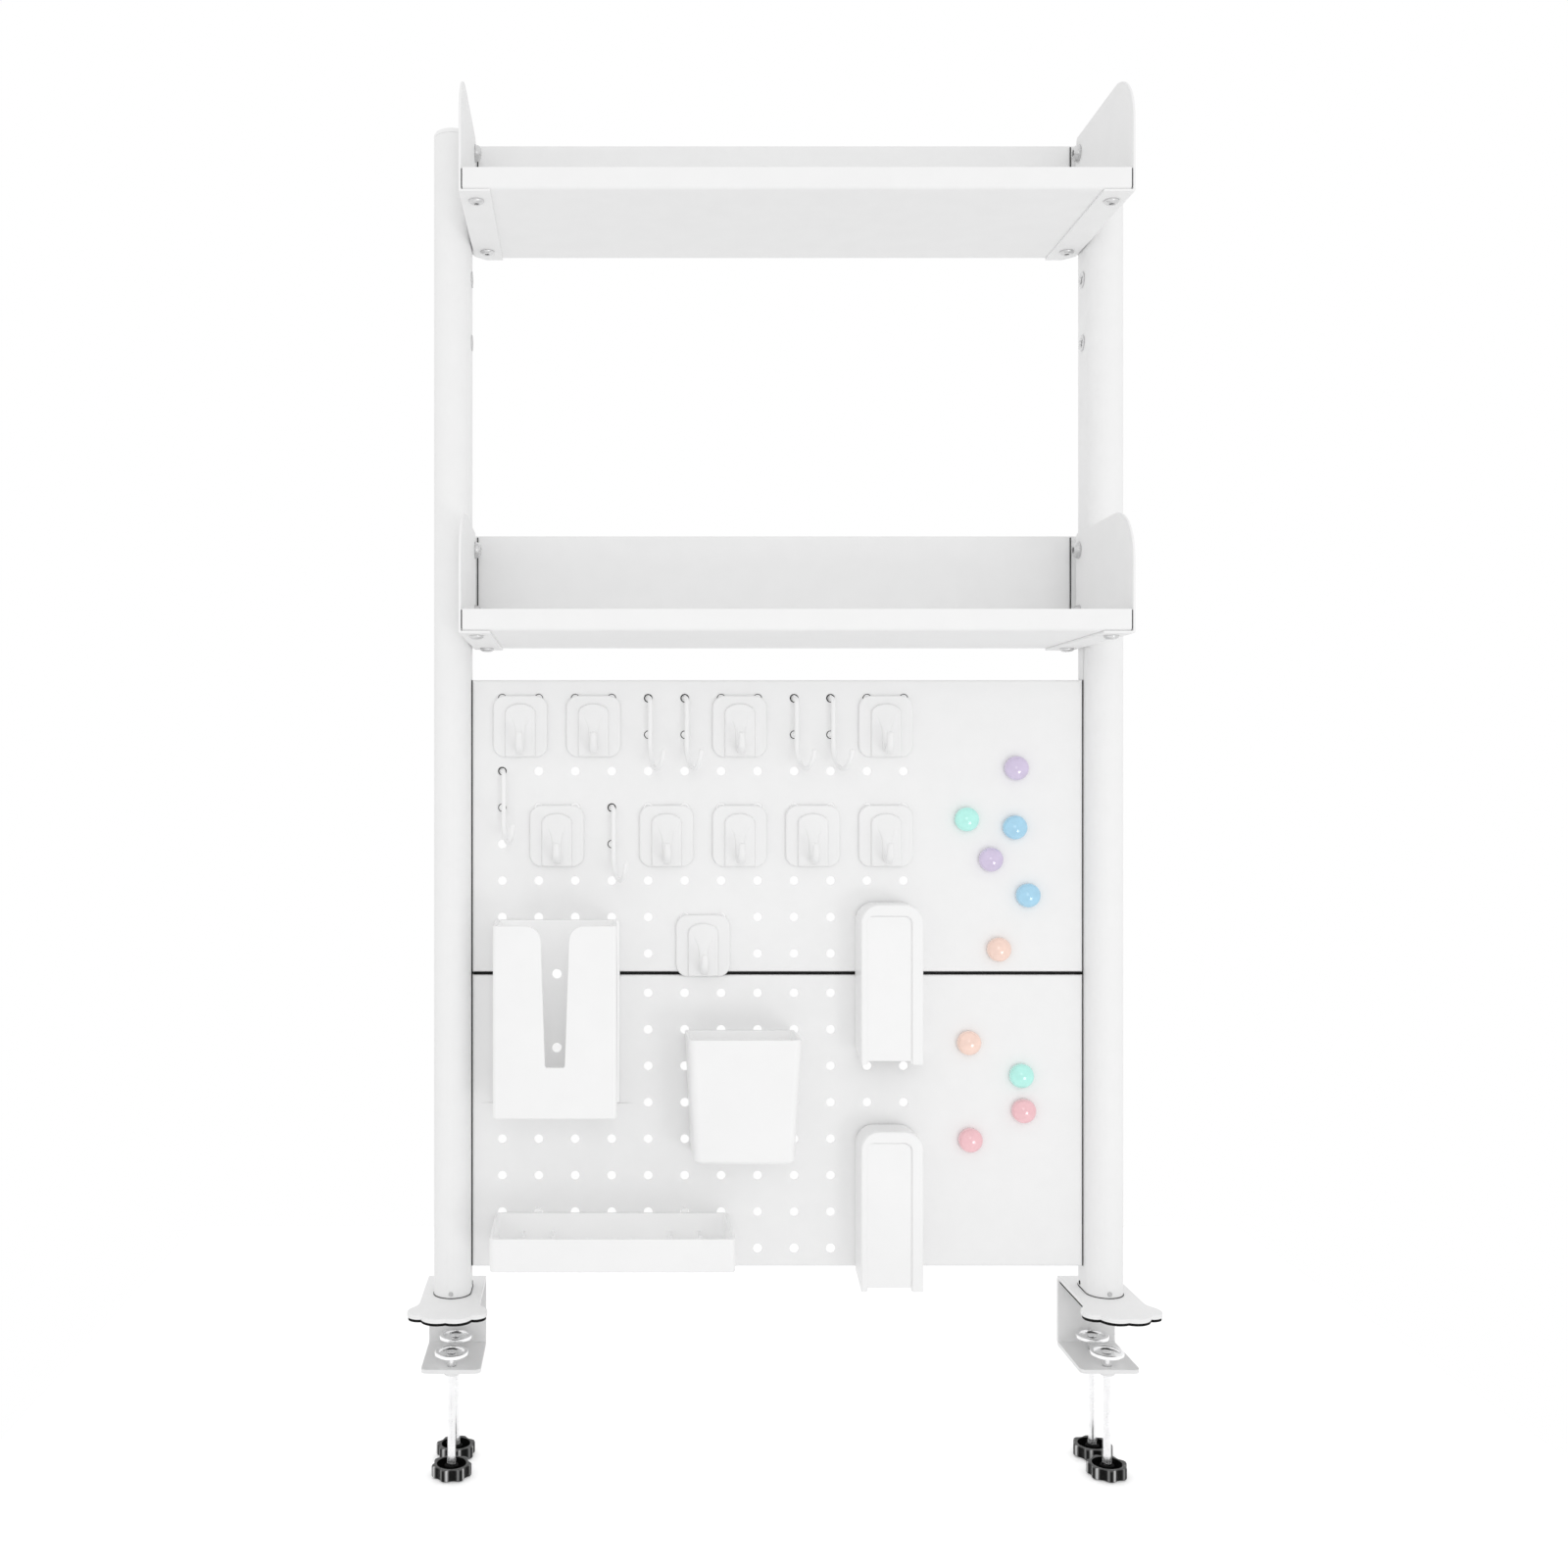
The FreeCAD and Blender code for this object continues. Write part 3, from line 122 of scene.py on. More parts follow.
# Magnets, in millimetres from the lower board's right edge and bottom edge.
MAGNET_PLACES = {
    "lavender": ((46.0, 341.5), (63.5, 279.0)),
    "mint": ((80.0, 306.5), (42.5, 131.0)),
    "blue": ((47.0, 301.0), (38.0, 254.5)),
    "peach": ((58.0, 217.5), (78.5, 153.5)),
    "pink": ((41.0, 107.0), (77.5, 87.0)),
}


# ---------------------------------------------------------------- sizes and colours


def length(name, description, default_mm, least=0.0):
    """Return a size property, given in millimetres and kept in metres."""
    return bpy.props.FloatProperty(
        name=name, description=description, default=default_mm * MM, min=least, unit="LENGTH"
    )


def colour(name, description, rgb):
    """Return a colour property."""
    return bpy.props.FloatVectorProperty(
        name=name, description=description, default=rgb, size=3, min=0.0, max=1.0, subtype="COLOR"
    )


class OrganizerSizes(bpy.types.PropertyGroup):
    """Sizes of the finish that a user may change."""

    sheet_edge: length("Sheet edge", "Rounding that the powder coat leaves on sheet edges", 0.35)
    tube_edge: length("Tube edge", "Rounding of the posts' cut ends", 0.3)
    plastic_edge: length("Plastic edge", "Rounding of moulded edges", 0.5)
    holder_edge: length("Holder edge", "Rounding of the tall holders' edges", 0.3)
    rubber_edge: length("Rubber edge", "Rounding of the rubber pads' edges", 0.3)
    peg_pitch: length("Peg pitch", "Distance between two holes of a pegboard", 25.0)
    hole_radius: length("Hole radius", "Radius of a pegboard's hole", 3.0)
    hole_rim: length("Hole rim", "Rounding of a hole's edge under the coat", 0.35)
    board_sheet: length("Board sheet", "Thickness of a pegboard", 1.2)
    board_bend: length("Board bend", "Outer radius of a pegboard's folds", 2.0)
    thread_pitch: length("Thread pitch", "Advance of a clamp rod in one turn", 1.0)
    thread_depth: length("Thread depth", "Height of a clamp rod's thread", 0.05)
    wire_radius: length("Wire radius", "Radius of a wire hook's coated wire", 1.6)


class OrganizerColours(bpy.types.PropertyGroup):
    """Colours of the finish that a user may change."""

    powder: colour("Powder coat", "Posts, shelves, boards and clamps", (0.90, 0.90, 0.90))
    plastic: colour("White plastic", "Boxes, holders and square hooks", (0.915, 0.915, 0.915))
    steel: colour("Zinc plate", "Rods, discs and fasteners", (0.95, 0.95, 0.955))
    # Real rubber on the pads; the strips and rings in this black are painted shade.
    rubber: colour("Rubber", "Pads, strips and rings", (0.006, 0.006, 0.006))
    knob: colour("Knob plastic", "Star knobs", (0.004, 0.004, 0.004))
    lavender: colour("Lavender", "First pair of magnets", (0.64, 0.55, 0.75))
    mint: colour("Mint", "Second pair of magnets", (0.46, 0.92, 0.83))
    blue: colour("Blue", "Third pair of magnets", (0.36, 0.66, 0.86))
    peach: colour("Peach", "Fourth pair of magnets", (0.94, 0.68, 0.58))
    pink: colour("Pink", "Fifth pair of magnets", (0.90, 0.52, 0.56))


def power(name, description, watts):
    """Return a lamp's power property."""
    return bpy.props.FloatProperty(
        name=name, description=description, default=watts, min=0.0, unit="POWER"
    )


class OrganizerStage(bpy.types.PropertyGroup):
    """Camera, lamps and floor."""

    camera_x: length("Camera X", "Camera place across the desk", -121.9, -10.0)
    camera_y: length("Camera Y", "Camera place in front of the desk edge", -1109.6, -10.0)
    camera_z: length("Camera Z", "Camera height above the desk top", 352.7, -10.0)
    lens: bpy.props.FloatProperty(
        name="Lens", description="Focal length", default=36.0, min=1.0, unit="CAMERA"
    )
    shift_x: bpy.props.FloatProperty(
        name="Shift", description="Sideways shift of the view, in picture widths", default=0.1175
    )
    key_power: power("Key lamp", "Power of the low lamp at the right", 3.2)
    fill_power: power("Front lamp", "Power of the lamp in front", 0.9)
    near_power: power("Near lamp", "Power of the lamp above the camera", 0.9)
    sky: bpy.props.FloatProperty(
        name="Sky", description="Strength of the even light around", default=0.90, min=0.0
    )
    floor_half: length("Floor size", "Half the floor's width", 550.0)
    floor_gap: length("Floor gap", "Distance of the floor below the knobs", 0.6)


def sizes():
    """Return the scene's sizes."""
    return bpy.context.scene.organizer_sizes


def colours():
    """Return the scene's colours."""
    return bpy.context.scene.organizer_colours


# ---------------------------------------------------------------- materials


def new_material(name):
    """Return an empty material, its nodes, and its shader."""
    material = bpy.data.materials.new(f"{name}_finish")
    material.use_nodes = True
    nodes = material.node_tree.nodes
    shader = nodes["Principled BSDF"]
    return material, nodes, shader


def surface_noise(material, scale, detail):
    """Add a noise texture on Object coordinates, scale in features per metre."""
    nodes = material.node_tree.nodes
    place = nodes.new("ShaderNodeTexCoord")
    noise = nodes.new("ShaderNodeTexNoise")
    noise.inputs["Scale"].default_value = scale
    noise.inputs["Detail"].default_value = detail
    noise.inputs["Roughness"].default_value = 0.5
    material.node_tree.links.new(place.outputs["Object"], noise.inputs["Vector"])
    return noise


def tinted(material, noise, dark, light):
    """Mix two colours by a noise and give the result to the shader's base colour."""
    nodes = material.node_tree.nodes
    links = material.node_tree.links
    ramp = nodes.new("ShaderNodeValToRGB")
    for stop, place, rgb in zip(ramp.color_ramp.elements, (0.35, 0.65), (dark, light)):
        stop.position = place
        stop.color = (*rgb, 1.0)
    links.new(noise.outputs["Fac"], ramp.inputs["Fac"])
    links.new(ramp.outputs["Color"], nodes["Principled BSDF"].inputs["Base Color"])


def roughened(material, noise, low, high):
    """Vary the roughness between two values by a noise."""
    nodes = material.node_tree.nodes
    links = material.node_tree.links
    spread = nodes.new("ShaderNodeMapRange")
    for label, value in (("From Min", 0.3), ("From Max", 0.7), ("To Min", low), ("To Max", high)):
        spread.inputs[label].default_value = value
    links.new(noise.outputs["Fac"], spread.inputs["Value"])
    links.new(spread.outputs["Result"], nodes["Principled BSDF"].inputs["Roughness"])


def bumped(material, noise, strength, distance_mm):
    """Raise the surface by a noise."""
    nodes = material.node_tree.nodes
    links = material.node_tree.links
    bump = nodes.new("ShaderNodeBump")
    bump.inputs["Strength"].default_value = strength
    bump.inputs["Distance"].default_value = distance_mm * MM
    links.new(noise.outputs["Fac"], bump.inputs["Height"])
    links.new(bump.outputs["Normal"], nodes["Principled BSDF"].inputs["Normal"])


def scaled(rgb, factor):
    """Return a colour made lighter or darker."""
    return tuple(min(1.0, c * factor) for c in rgb)


def set_values(shader, values):
    """Set a shader's sockets by name."""
    for label, value in values.items():
        shader.inputs[label].default_value = value


def coated(name, base, tint, rough, bump, values):
    """Return a material with a fine noise in its colour, roughness and height.

    The noises are given as (scale, detail, least, most), and the bump's as (scale, detail,
    strength, height in millimetres). Least and most are factors of the base colour in the tint.
    """
    material, _, shader = new_material(name)
    tinted(material, surface_noise(material, *tint[:2]), scaled(base, tint[2]), scaled(base, tint[3]))
    if rough:
        roughened(material, surface_noise(material, *rough[:2]), *rough[2:])
    if bump:
        bumped(material, surface_noise(material, *bump[:2]), *bump[2:])
    set_values(shader, values)
    return material


def powder_coat():
    """Return the fine orange-peel powder coat of the steel parts."""
    tint, rough = (60.0, 3.0, 0.992, 1.005), (220.0, 2.0, 0.48, 0.58)
    bump = (1500.0, 3.0, 0.25, 0.05)
    return coated("powder_coat", colours().powder, tint, rough, bump, {"Specular IOR Level": 0.12})


def white_plastic(name, grain, shade=1.0, glow=0.0):
    """Return satin moulded plastic with a fine spark-eroded grain; glow is painted light, an emission
    that brightens it without a lamp.
    """
    tint, rough = (35.0, 2.0, 0.99, 1.005), (300.0, 2.0, 0.34, 0.44)
    bump = (2600.0, 2.0, grain, 0.03)
    values = {"Specular IOR Level": 0.45, "Emission Color": WHITE, "Emission Strength": glow}
    return coated(name, scaled(colours().plastic, shade), tint, rough, bump, values)


def zinc_plate(name, low, high, shade=1.0):
    """Return bright plated steel with fine turning marks round its axis."""
    tint = (150.0, 2.0, 0.93, 1.0)
    base = scaled(colours().steel, shade)
    material = coated(name, base, tint, None, None, {"Metallic": 1.0})
    nodes = material.node_tree.nodes
    links = material.node_tree.links
    place = nodes.new("ShaderNodeTexCoord")
    stretch = nodes.new("ShaderNodeMapping")
    stretch.inputs["Scale"].default_value = (60.0, 60.0, 900.0)
    marks = nodes.new("ShaderNodeTexNoise")
    set_values(marks, {"Scale": 1.0, "Detail": 3.0})
    links.new(place.outputs["Object"], stretch.inputs["Vector"])
    links.new(stretch.outputs["Vector"], marks.inputs["Vector"])
    roughened(material, marks, low, high)
    return material


def pad_rubber():
    """Return matt black rubber with a fine open grain: real rubber on the desk pads, and painted shade on
    the seam strips and the rings in peg holes and round the posts' feet.
    """
    tint, rough = (400.0, 3.0, 1.0, 1.8), (700.0, 2.0, 0.72, 0.9)
    bump = (1800.0, 4.0, 0.4, 0.08)
    return coated("pad_rubber", colours().rubber, tint, rough, bump, {"Specular IOR Level": 0.15})


def knob_plastic():
    """Return black moulded plastic, lightened towards grey by a vertex attribute: painted highlights on
    the lobes' flanks and rims.
    """
    tint, rough = (120.0, 3.0, 1.0, 1.7), (500.0, 2.0, 0.14, 0.24)
    bump = (2200.0, 2.0, 0.15, 0.02)
    values = {"Specular IOR Level": 0.08}
    material = coated("knob_plastic", colours().knob, tint, rough, bump, values)
    nodes = material.node_tree.nodes
    links = material.node_tree.links
    shader = nodes["Principled BSDF"]
    tone = shader.inputs["Base Color"].links[0].from_socket
    # Painted highlight: the base colour is mixed towards light grey where the lobe's attribute is high.
    sheen = nodes.new("ShaderNodeAttribute")
    sheen.attribute_name = "sheen"
    painted_highlight_mix = nodes.new("ShaderNodeMix")
    painted_highlight_mix.data_type = "RGBA"
    painted_highlight_mix.inputs[7].default_value = (0.70, 0.70, 0.70, 1.0)
    links.new(sheen.outputs["Fac"], painted_highlight_mix.inputs["Factor"])
    links.new(tone, painted_highlight_mix.inputs[6])
    links.new(painted_highlight_mix.outputs[2], shader.inputs["Base Color"])
    return material


def bore_steel():
    """Return near-black steel: painted shade in sockets, threaded bores and the knobs' dishes, and the
    whole of the side foot screws.
    """
    tint, rough = (300.0, 2.0, 0.002, 0.006), (600.0, 2.0, 0.5, 0.7)
    return coated("bore_steel", WHITE[:3], tint, rough, None, {"Specular IOR Level": 0.03})


def glowing_magnet_white():
    """Return the white enamel of the box's magnets with a painted glow: an emission makes them brighter
    than its wall.
    """
    tint, rough = (90.0, 2.0, 0.97, 0.99), (300.0, 2.0, 0.25, 0.35)
    values = {"Emission Color": WHITE, "Emission Strength": 0.35}
    return coated("magnet_plate", WHITE[:3], tint, rough, None, values)


def magnet_plastic(shade):
    """Return glossy pastel plastic, faintly cloudy as thick moulded domes are."""
    tint, rough = (140.0, 2.0, 0.96, 1.04), (240.0, 1.0, 0.08, 0.14)
    values = {"Coat Weight": 1.0, "Coat IOR": 1.7, "Coat Roughness": 0.04}
    return coated(f"{shade}_plastic", getattr(colours(), shade), tint, rough, None, values)


FINISHES = {
    "powder_coat": (powder_coat,),
    "accessory_plastic": (white_plastic, "accessory_plastic", 0.18),
    # Painted light: the insides of the boxes glow a little.
    "inner_plastic": (white_plastic, "inner_plastic", 0.18, 1.0, 0.08),
    "cap_plastic": (white_plastic, "cap_plastic", 0.3),
    "hook_plastic": (white_plastic, "hook_plastic", 0.2, 0.965),
    "wire_coat": (white_plastic, "wire_coat", 0.12, 1.01),
    "bright_zinc": (zinc_plate, "bright_zinc", 0.16, 0.30),
    "fastener_plate": (zinc_plate, "fastener_plate", 0.22, 0.36, 0.72),
    "pad_rubber": (pad_rubber,),
    "knob_plastic": (knob_plastic,),
    # Near-black steel: painted shade in recesses, and the side foot screws' dark heads.
    "bore_steel": (bore_steel,),
    "magnet_plate": (glowing_magnet_white,),
}
FINISHES.update({f"{shade}_plastic": (magnet_plastic, shade) for shade in MAGNET_PLACES})


def finish(name):
    """Return a finish of this object, made when it is first asked for."""
    maker, *arguments = FINISHES[name]
    return bpy.data.materials.get(f"{name}_finish") or maker(*arguments)


# ---------------------------------------------------------------- mesh helpers


def add_object(name, mesh):
    """Link a mesh into the scene under a name."""
    piece = bpy.data.objects.new(name, mesh)
    bpy.context.scene.collection.objects.link(piece)
    return piece


def mesh_from(bm, name):
    """Turn a bmesh into a smooth-shaded mesh and free it."""
    mesh = bpy.data.meshes.new(name)
    bm.to_mesh(mesh)
    bm.free()
    for face in mesh.polygons:
        face.use_smooth = True
    return mesh


def settled(piece):
    """Apply a piece's modifiers."""
    graph = bpy.context.evaluated_depsgraph_get()
    mesh = bpy.data.meshes.new_from_object(piece.evaluated_get(graph), depsgraph=graph)
    piece.modifiers.clear()
    old = piece.data
    piece.data = mesh
    bpy.data.meshes.remove(old)
    mesh.name = piece.name
    return piece


def shaded(piece, degrees=35.0):
    """Smooth a piece except across edges sharper than an angle, with flat faces kept flat."""
    mesh = piece.data
    for face in mesh.polygons:
        face.use_smooth = True
    bm = bmesh.new()
    bm.from_mesh(mesh)
    limit = math.radians(degrees)
    for edge in bm.edges:
        edge.smooth = len(edge.link_faces) != 2 or edge.calc_face_angle(0.0) < limit
    bm.to_mesh(mesh)
    bm.free()
    weigh = piece.modifiers.new("flat faces", "WEIGHTED_NORMAL")
    weigh.keep_sharp = True
    weigh.weight = 100
    return settled(piece)


def painted(piece, material):
    """Give a piece one material."""
    piece.data.materials.clear()
    piece.data.materials.append(material)
    return piece


def darkened(piece, source, radius_mm, top_mm):
    """Paint shade on the faces inside a radius and below a height of every copy of a source: they take
    the near-black steel.
    """
    inner = set()
    for face in source.polygons:
        if face.center.xy.length < radius_mm * MM and face.center.z < top_mm * MM:
            inner.add(face.index)
    piece.data.materials.append(finish("bore_steel"))
    for face in piece.data.polygons:
        if face.index % len(source.polygons) in inner:
            face.material_index = 1
    return piece


def paint_light_inside(piece):
    """Paint light inside a piece: the faces that look at its own walls take the glowing plastic, an
    emission that lightens the insides.
    """
    lift, lean, far, walls_seen = 0.2 * MM, 0.6, 200.0 * MM, 2
    bm = bmesh.new()
    bm.from_mesh(piece.data)
    walls = BVHTree.FromBMesh(bm)
    inner = []
    for face in bm.faces:
        normal = face.normal
        across = normal.orthogonal().normalized()
        along = normal.cross(across)
        start = face.calc_center_median() + normal * lift
        rays = [(normal + lean * way).normalized() for way in (across, -across, along, -along)]
        hits = sum(walls.ray_cast(start, ray, far)[0] is not None for ray in rays)
        if hits >= walls_seen:
            inner.append(face.index)
    bm.free()
    piece.data.materials.append(finish("inner_plastic"))
    for index in inner:
        piece.data.polygons[index].material_index = 1
    return piece


def shade_strip(name, low_mm, high_mm):
    """Add a square black strip of painted shade between two corners, in millimetres, on the fixed body.
    """
    edge = 0.08 * MM
    bm = bmesh.new()
    bmesh.ops.create_cube(bm, size=1.0)
    low, high = Vector(low_mm) * MM, Vector(high_mm) * MM
    for point in bm.verts:
        point.co = Vector([(a + b) / 2 + c * (b - a) for a, b, c in zip(low, high, point.co)])
    bmesh.ops.bevel(bm, geom=list(bm.edges), offset=edge, segments=2, affect="EDGES")
    piece = painted(add_object(name, mesh_from(bm, name)), finish("pad_rubber"))
    return attached(shaded(piece, 50), FIXED_BODY, "pad_rubber")


def attached(piece, body, slot, *nodes):
    """Let a piece ride on a body and stand for CAD nodes; the slot is not used."""
    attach(piece, body)
    if nodes:
        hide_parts(*nodes)
    return piece


def softened(node, coat, edge, body=FIXED_BODY):
    """Stand a copy of a CAD node with rounded edges in for it, in a finish."""
    weld, flat, sharp = 0.002 * MM, math.radians(0.4), math.radians(28.0)
    piece = add_object(f"{node}_finish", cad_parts[node].data.copy())
    bm = bmesh.new()
    bm.from_mesh(piece.data)
    bmesh.ops.remove_doubles(bm, verts=bm.verts, dist=weld)
    bmesh.ops.dissolve_limit(bm, angle_limit=flat, verts=bm.verts, edges=bm.edges, delimit=set())
    bm.to_mesh(piece.data)
    bm.free()
    if piece.data.has_custom_normals:
        piece.data.attributes.remove(piece.data.attributes["custom_normal"])
    bevel = piece.modifiers.new("edges", "BEVEL")
    bevel.width = edge
    bevel.segments = 2
    bevel.limit_method = "ANGLE"
    bevel.angle_limit = sharp
    bevel.use_clamp_overlap = False
    settled(piece)
    painted(shaded(piece), finish(coat))
    return attached(piece, body, coat, node)


def circle(radius, sides):
    """Return the points of a circle as pairs."""
    turns = [2 * math.pi * i / sides for i in range(sides)]
    return [(radius * math.cos(a), radius * math.sin(a)) for a in turns]


def lathed(name, outline, centre=(0, 0, 0), sides=64):
    """Turn an outline of (radius, height) in millimetres about Z; radii of 0 close it."""
    bm = bmesh.new()
    rings = []
    for radius, height in outline:
        if radius == 0:
            rings.append([bm.verts.new((0, 0, height * MM))])
        else:
            rings.append([bm.verts.new((x, y, height * MM)) for x, y in circle(radius * MM, sides)])
    for low, high in zip(rings, rings[1:]):
        bridge(bm, low, high)
    bmesh.ops.translate(bm, verts=bm.verts, vec=Vector(centre))
    bmesh.ops.recalc_face_normals(bm, faces=bm.faces)
    return mesh_from(bm, name)


def bridge(bm, low, high):
    """Join two closed rings, or a ring and a pole, with faces."""
    count = max(len(low), len(high))
    for i in range(count):
        j = (i + 1) % count
        if len(low) == 1:
            bm.faces.new((low[0], high[j], high[i]))
        elif len(high) == 1:
            bm.faces.new((low[i], low[j], high[0]))
        else:
            bm.faces.new((low[i], low[j], high[j], high[i]))


def rounded_corner(centre_r, centre_h, radius, start, end, steps=4):
    """Return the points of an arc in an outline, angles in degrees from the radial direction."""
    points = []
    for i in range(steps + 1):
        angle = math.radians(start + (end - start) * i / steps)
        points.append((centre_r + radius * math.cos(angle), centre_h + radius * math.sin(angle)))
    return points


# ---------------------------------------------------------------- geometry node trees


TREE_INPUTS = {
    "repeat piece": {"Places": "Geometry", "Piece": "Object", "Size": "Float", "Material": "Material"},
    "perforation": {
        "Sheet": "Geometry",
        "Cell": "Object",
        "Columns": "Int",
        "Rows": "Int",
        "Width": "Float",
        "Height": "Float",
        "Middle": "Vector",
        "Material": "Material",
    },
    "thread": {
        "Rod": "Geometry",
        "Radius": "Float",
        "Turns": "Float",
        "Length": "Float",
        "Ridge": "Float",
        "Foot": "Vector",
        "Material": "Material",
    },
    "wire": {"Path": "Geometry", "Radius": "Float", "Sides": "Int", "Material": "Material"},
}


def join(tree, *links):
    """Link sockets, each link given as node, output, node, input."""
    for source, output, target, entry in links:
        tree.links.new(source.outputs[output], target.inputs[entry])


def new_tree(name):
    """Return a geometry node tree with its named inputs, its input node and a maker of nodes."""
    tree = bpy.data.node_groups.new(name, "GeometryNodeTree")
    for label, kind in TREE_INPUTS[name].items():
        tree.interface.new_socket(label, in_out="INPUT", socket_type=f"NodeSocket{kind}")
    tree.interface.new_socket("Geometry", in_out="OUTPUT", socket_type="NodeSocketGeometry")

    def node(kind):
        return tree.nodes.new(f"GeometryNode{kind}")

    return tree, tree.nodes.new("NodeGroupInput"), node


def finish_tree(tree, start, last, output):
    """Realize the instances, set the material and end the tree."""
    real = tree.nodes.new("GeometryNodeRealizeInstances")
    coat = tree.nodes.new("GeometryNodeSetMaterial")
    end = tree.nodes.new("NodeGroupOutput")
    join(
        tree,
        (last, output, real, "Geometry"),
        (real, "Geometry", coat, "Geometry"),
        (start, "Material", coat, "Material"),
        (coat, "Geometry", end, "Geometry"),
    )
    return tree


def run_tree(piece, name, values):
    """Run a tree on a piece with its inputs set, and leave the result as a plain mesh."""
    tree = bpy.data.node_groups.get(name) or TREES[name](name)
    modifier = piece.modifiers.new(name, "NODES")
    modifier.node_group = tree
    for item in tree.interface.items_tree:
        if item.in_out == "INPUT" and item.name in values:
            modifier[item.identifier] = values[item.name]
    return settled(piece)


def repeat_tree(name):
    """Return the tree that sets a piece on every point, turned as the point says."""
    tree, start, node = new_tree(name)
    piece = node("ObjectInfo")
    turn = node("InputNamedAttribute")
    turn.data_type = "FLOAT_VECTOR"
    turn.inputs["Name"].default_value = "turn"
    copies = node("InstanceOnPoints")
    join(
        tree,
        (start, "Piece", piece, "Object"),
        (start, "Places", copies, "Points"),
        (piece, "Geometry", copies, "Instance"),
        (turn, "Attribute", copies, "Rotation"),
        (start, "Size", copies, "Scale"),
    )
    return finish_tree(tree, start, copies, "Instances")


def perforation_tree(name):
    """Return the tree that lays a perforated cell on a grid of columns and rows."""
    tree, start, node = new_tree(name)
    grid = node("MeshGrid")
    upright = node("Transform")
    upright.inputs["Rotation"].default_value = (math.pi / 2, 0, 0)
    cell = node("ObjectInfo")
    copies = node("InstanceOnPoints")
    real = node("RealizeInstances")
    both = node("JoinGeometry")
    weld = node("MergeByDistance")
    weld.inputs["Distance"].default_value = SAME_POINT
    join(
        tree,
        (start, "Width", grid, "Size X"),
        (start, "Height", grid, "Size Y"),
        (start, "Columns", grid, "Vertices X"),
        (start, "Rows", grid, "Vertices Y"),
        (grid, "Mesh", upright, "Geometry"),
        (start, "Middle", upright, "Translation"),
        (start, "Cell", cell, "Object"),
        (upright, "Geometry", copies, "Points"),
        (cell, "Geometry", copies, "Instance"),
        (copies, "Instances", real, "Geometry"),
        (real, "Geometry", both, "Geometry"),
        (start, "Sheet", both, "Geometry"),
        (both, "Geometry", weld, "Geometry"),
    )
    return finish_tree(tree, start, weld, "Geometry")


def thread_tree(name):
    """Return the tree that winds a thread's ridge round a rod."""
    tree, start, node = new_tree(name)
    spiral = node("CurveSpiral")
    set_values(spiral, {"Resolution": 20, "Reverse": False})
    upright = node("SetCurveNormal")
    upright.mode = "Z_UP"
    ridge = node("CurvePrimitiveCircle")
    ridge.inputs["Resolution"].default_value = 4
    sweep = node("CurveToMesh")
    sweep.inputs["Fill Caps"].default_value = True
    place = node("Transform")
    both = node("JoinGeometry")
    join(
        tree,
        (start, "Turns", spiral, "Rotations"),
        (start, "Radius", spiral, "Start Radius"),
        (start, "Radius", spiral, "End Radius"),
        (start, "Length", spiral, "Height"),
        (spiral, "Curve", upright, "Curve"),
        (start, "Ridge", ridge, "Radius"),
        (upright, "Curve", sweep, "Curve"),
        (ridge, "Curve", sweep, "Profile Curve"),
        (sweep, "Mesh", place, "Geometry"),
        (start, "Foot", place, "Translation"),
        (place, "Geometry", both, "Geometry"),
        (start, "Rod", both, "Geometry"),
    )
    return finish_tree(tree, start, both, "Geometry")


def wire_tree(name):
    """Return the tree that sweeps a round wire along a path, thinner where swell says."""
    tree, start, node = new_tree(name)
    line = node("MeshToCurve")
    swell = node("InputNamedAttribute")
    swell.data_type = "FLOAT"
    swell.inputs["Name"].default_value = "swell"
    thick = node("SetCurveRadius")
    section = node("CurvePrimitiveCircle")
    sweep = node("CurveToMesh")
    sweep.inputs["Fill Caps"].default_value = True
    join(
        tree,
        (start, "Path", line, "Mesh"),
        (line, "Curve", thick, "Curve"),
        (swell, "Attribute", thick, "Radius"),
        (start, "Sides", section, "Resolution"),
        (start, "Radius", section, "Radius"),
        (thick, "Curve", sweep, "Curve"),
        (section, "Curve", sweep, "Profile Curve"),
        (swell, "Attribute", sweep, "Scale"),
    )
    return finish_tree(tree, start, sweep, "Mesh")


TREES = {
    "repeat piece": repeat_tree,
    "perforation": perforation_tree,
    "thread": thread_tree,
    "wire": wire_tree,
}


def places_mesh(name, places):
    """Return a mesh of single points, each with the Euler turn of what stands on it."""
    mesh = bpy.data.meshes.new(name)
    mesh.from_pydata([tuple(at) for at, _ in places], [], [])
    turns = mesh.attributes.new("turn", "FLOAT_VECTOR", "POINT")
    for i, (_, turn) in enumerate(places):
        turns.data[i].vector = tuple(turn)
    return mesh


def repeated(name, source, places, material):
    """Return one mesh piece with a source mesh at every place."""
    holder = add_object(f"{name}_source", source)
    piece = add_object(name, places_mesh(name, places))
    run_tree(piece, "repeat piece", {"Piece": holder, "Size": 1.0, "Material": material})
    bpy.data.objects.remove(holder)
    return piece


def facing(direction):
    """Return the Euler turn that takes +Z to a direction."""
    return Vector(direction).to_track_quat("Z", "Y").to_euler("XYZ")


# ---------------------------------------------------------------- stage


AIM = (0.0, -0.03, 0.33)
LAMPS = (
    ("key", (0.95, -1.95, -0.45), 0.5, True),
    ("fill", (0.25, -2.3, 0.5), 0.5, True),
    ("near", (-0.1, -1.5, 0.75), 0.35, False),
)
FLOOR_WHITE = 0.96
FLOOR_LIFT = 0.30


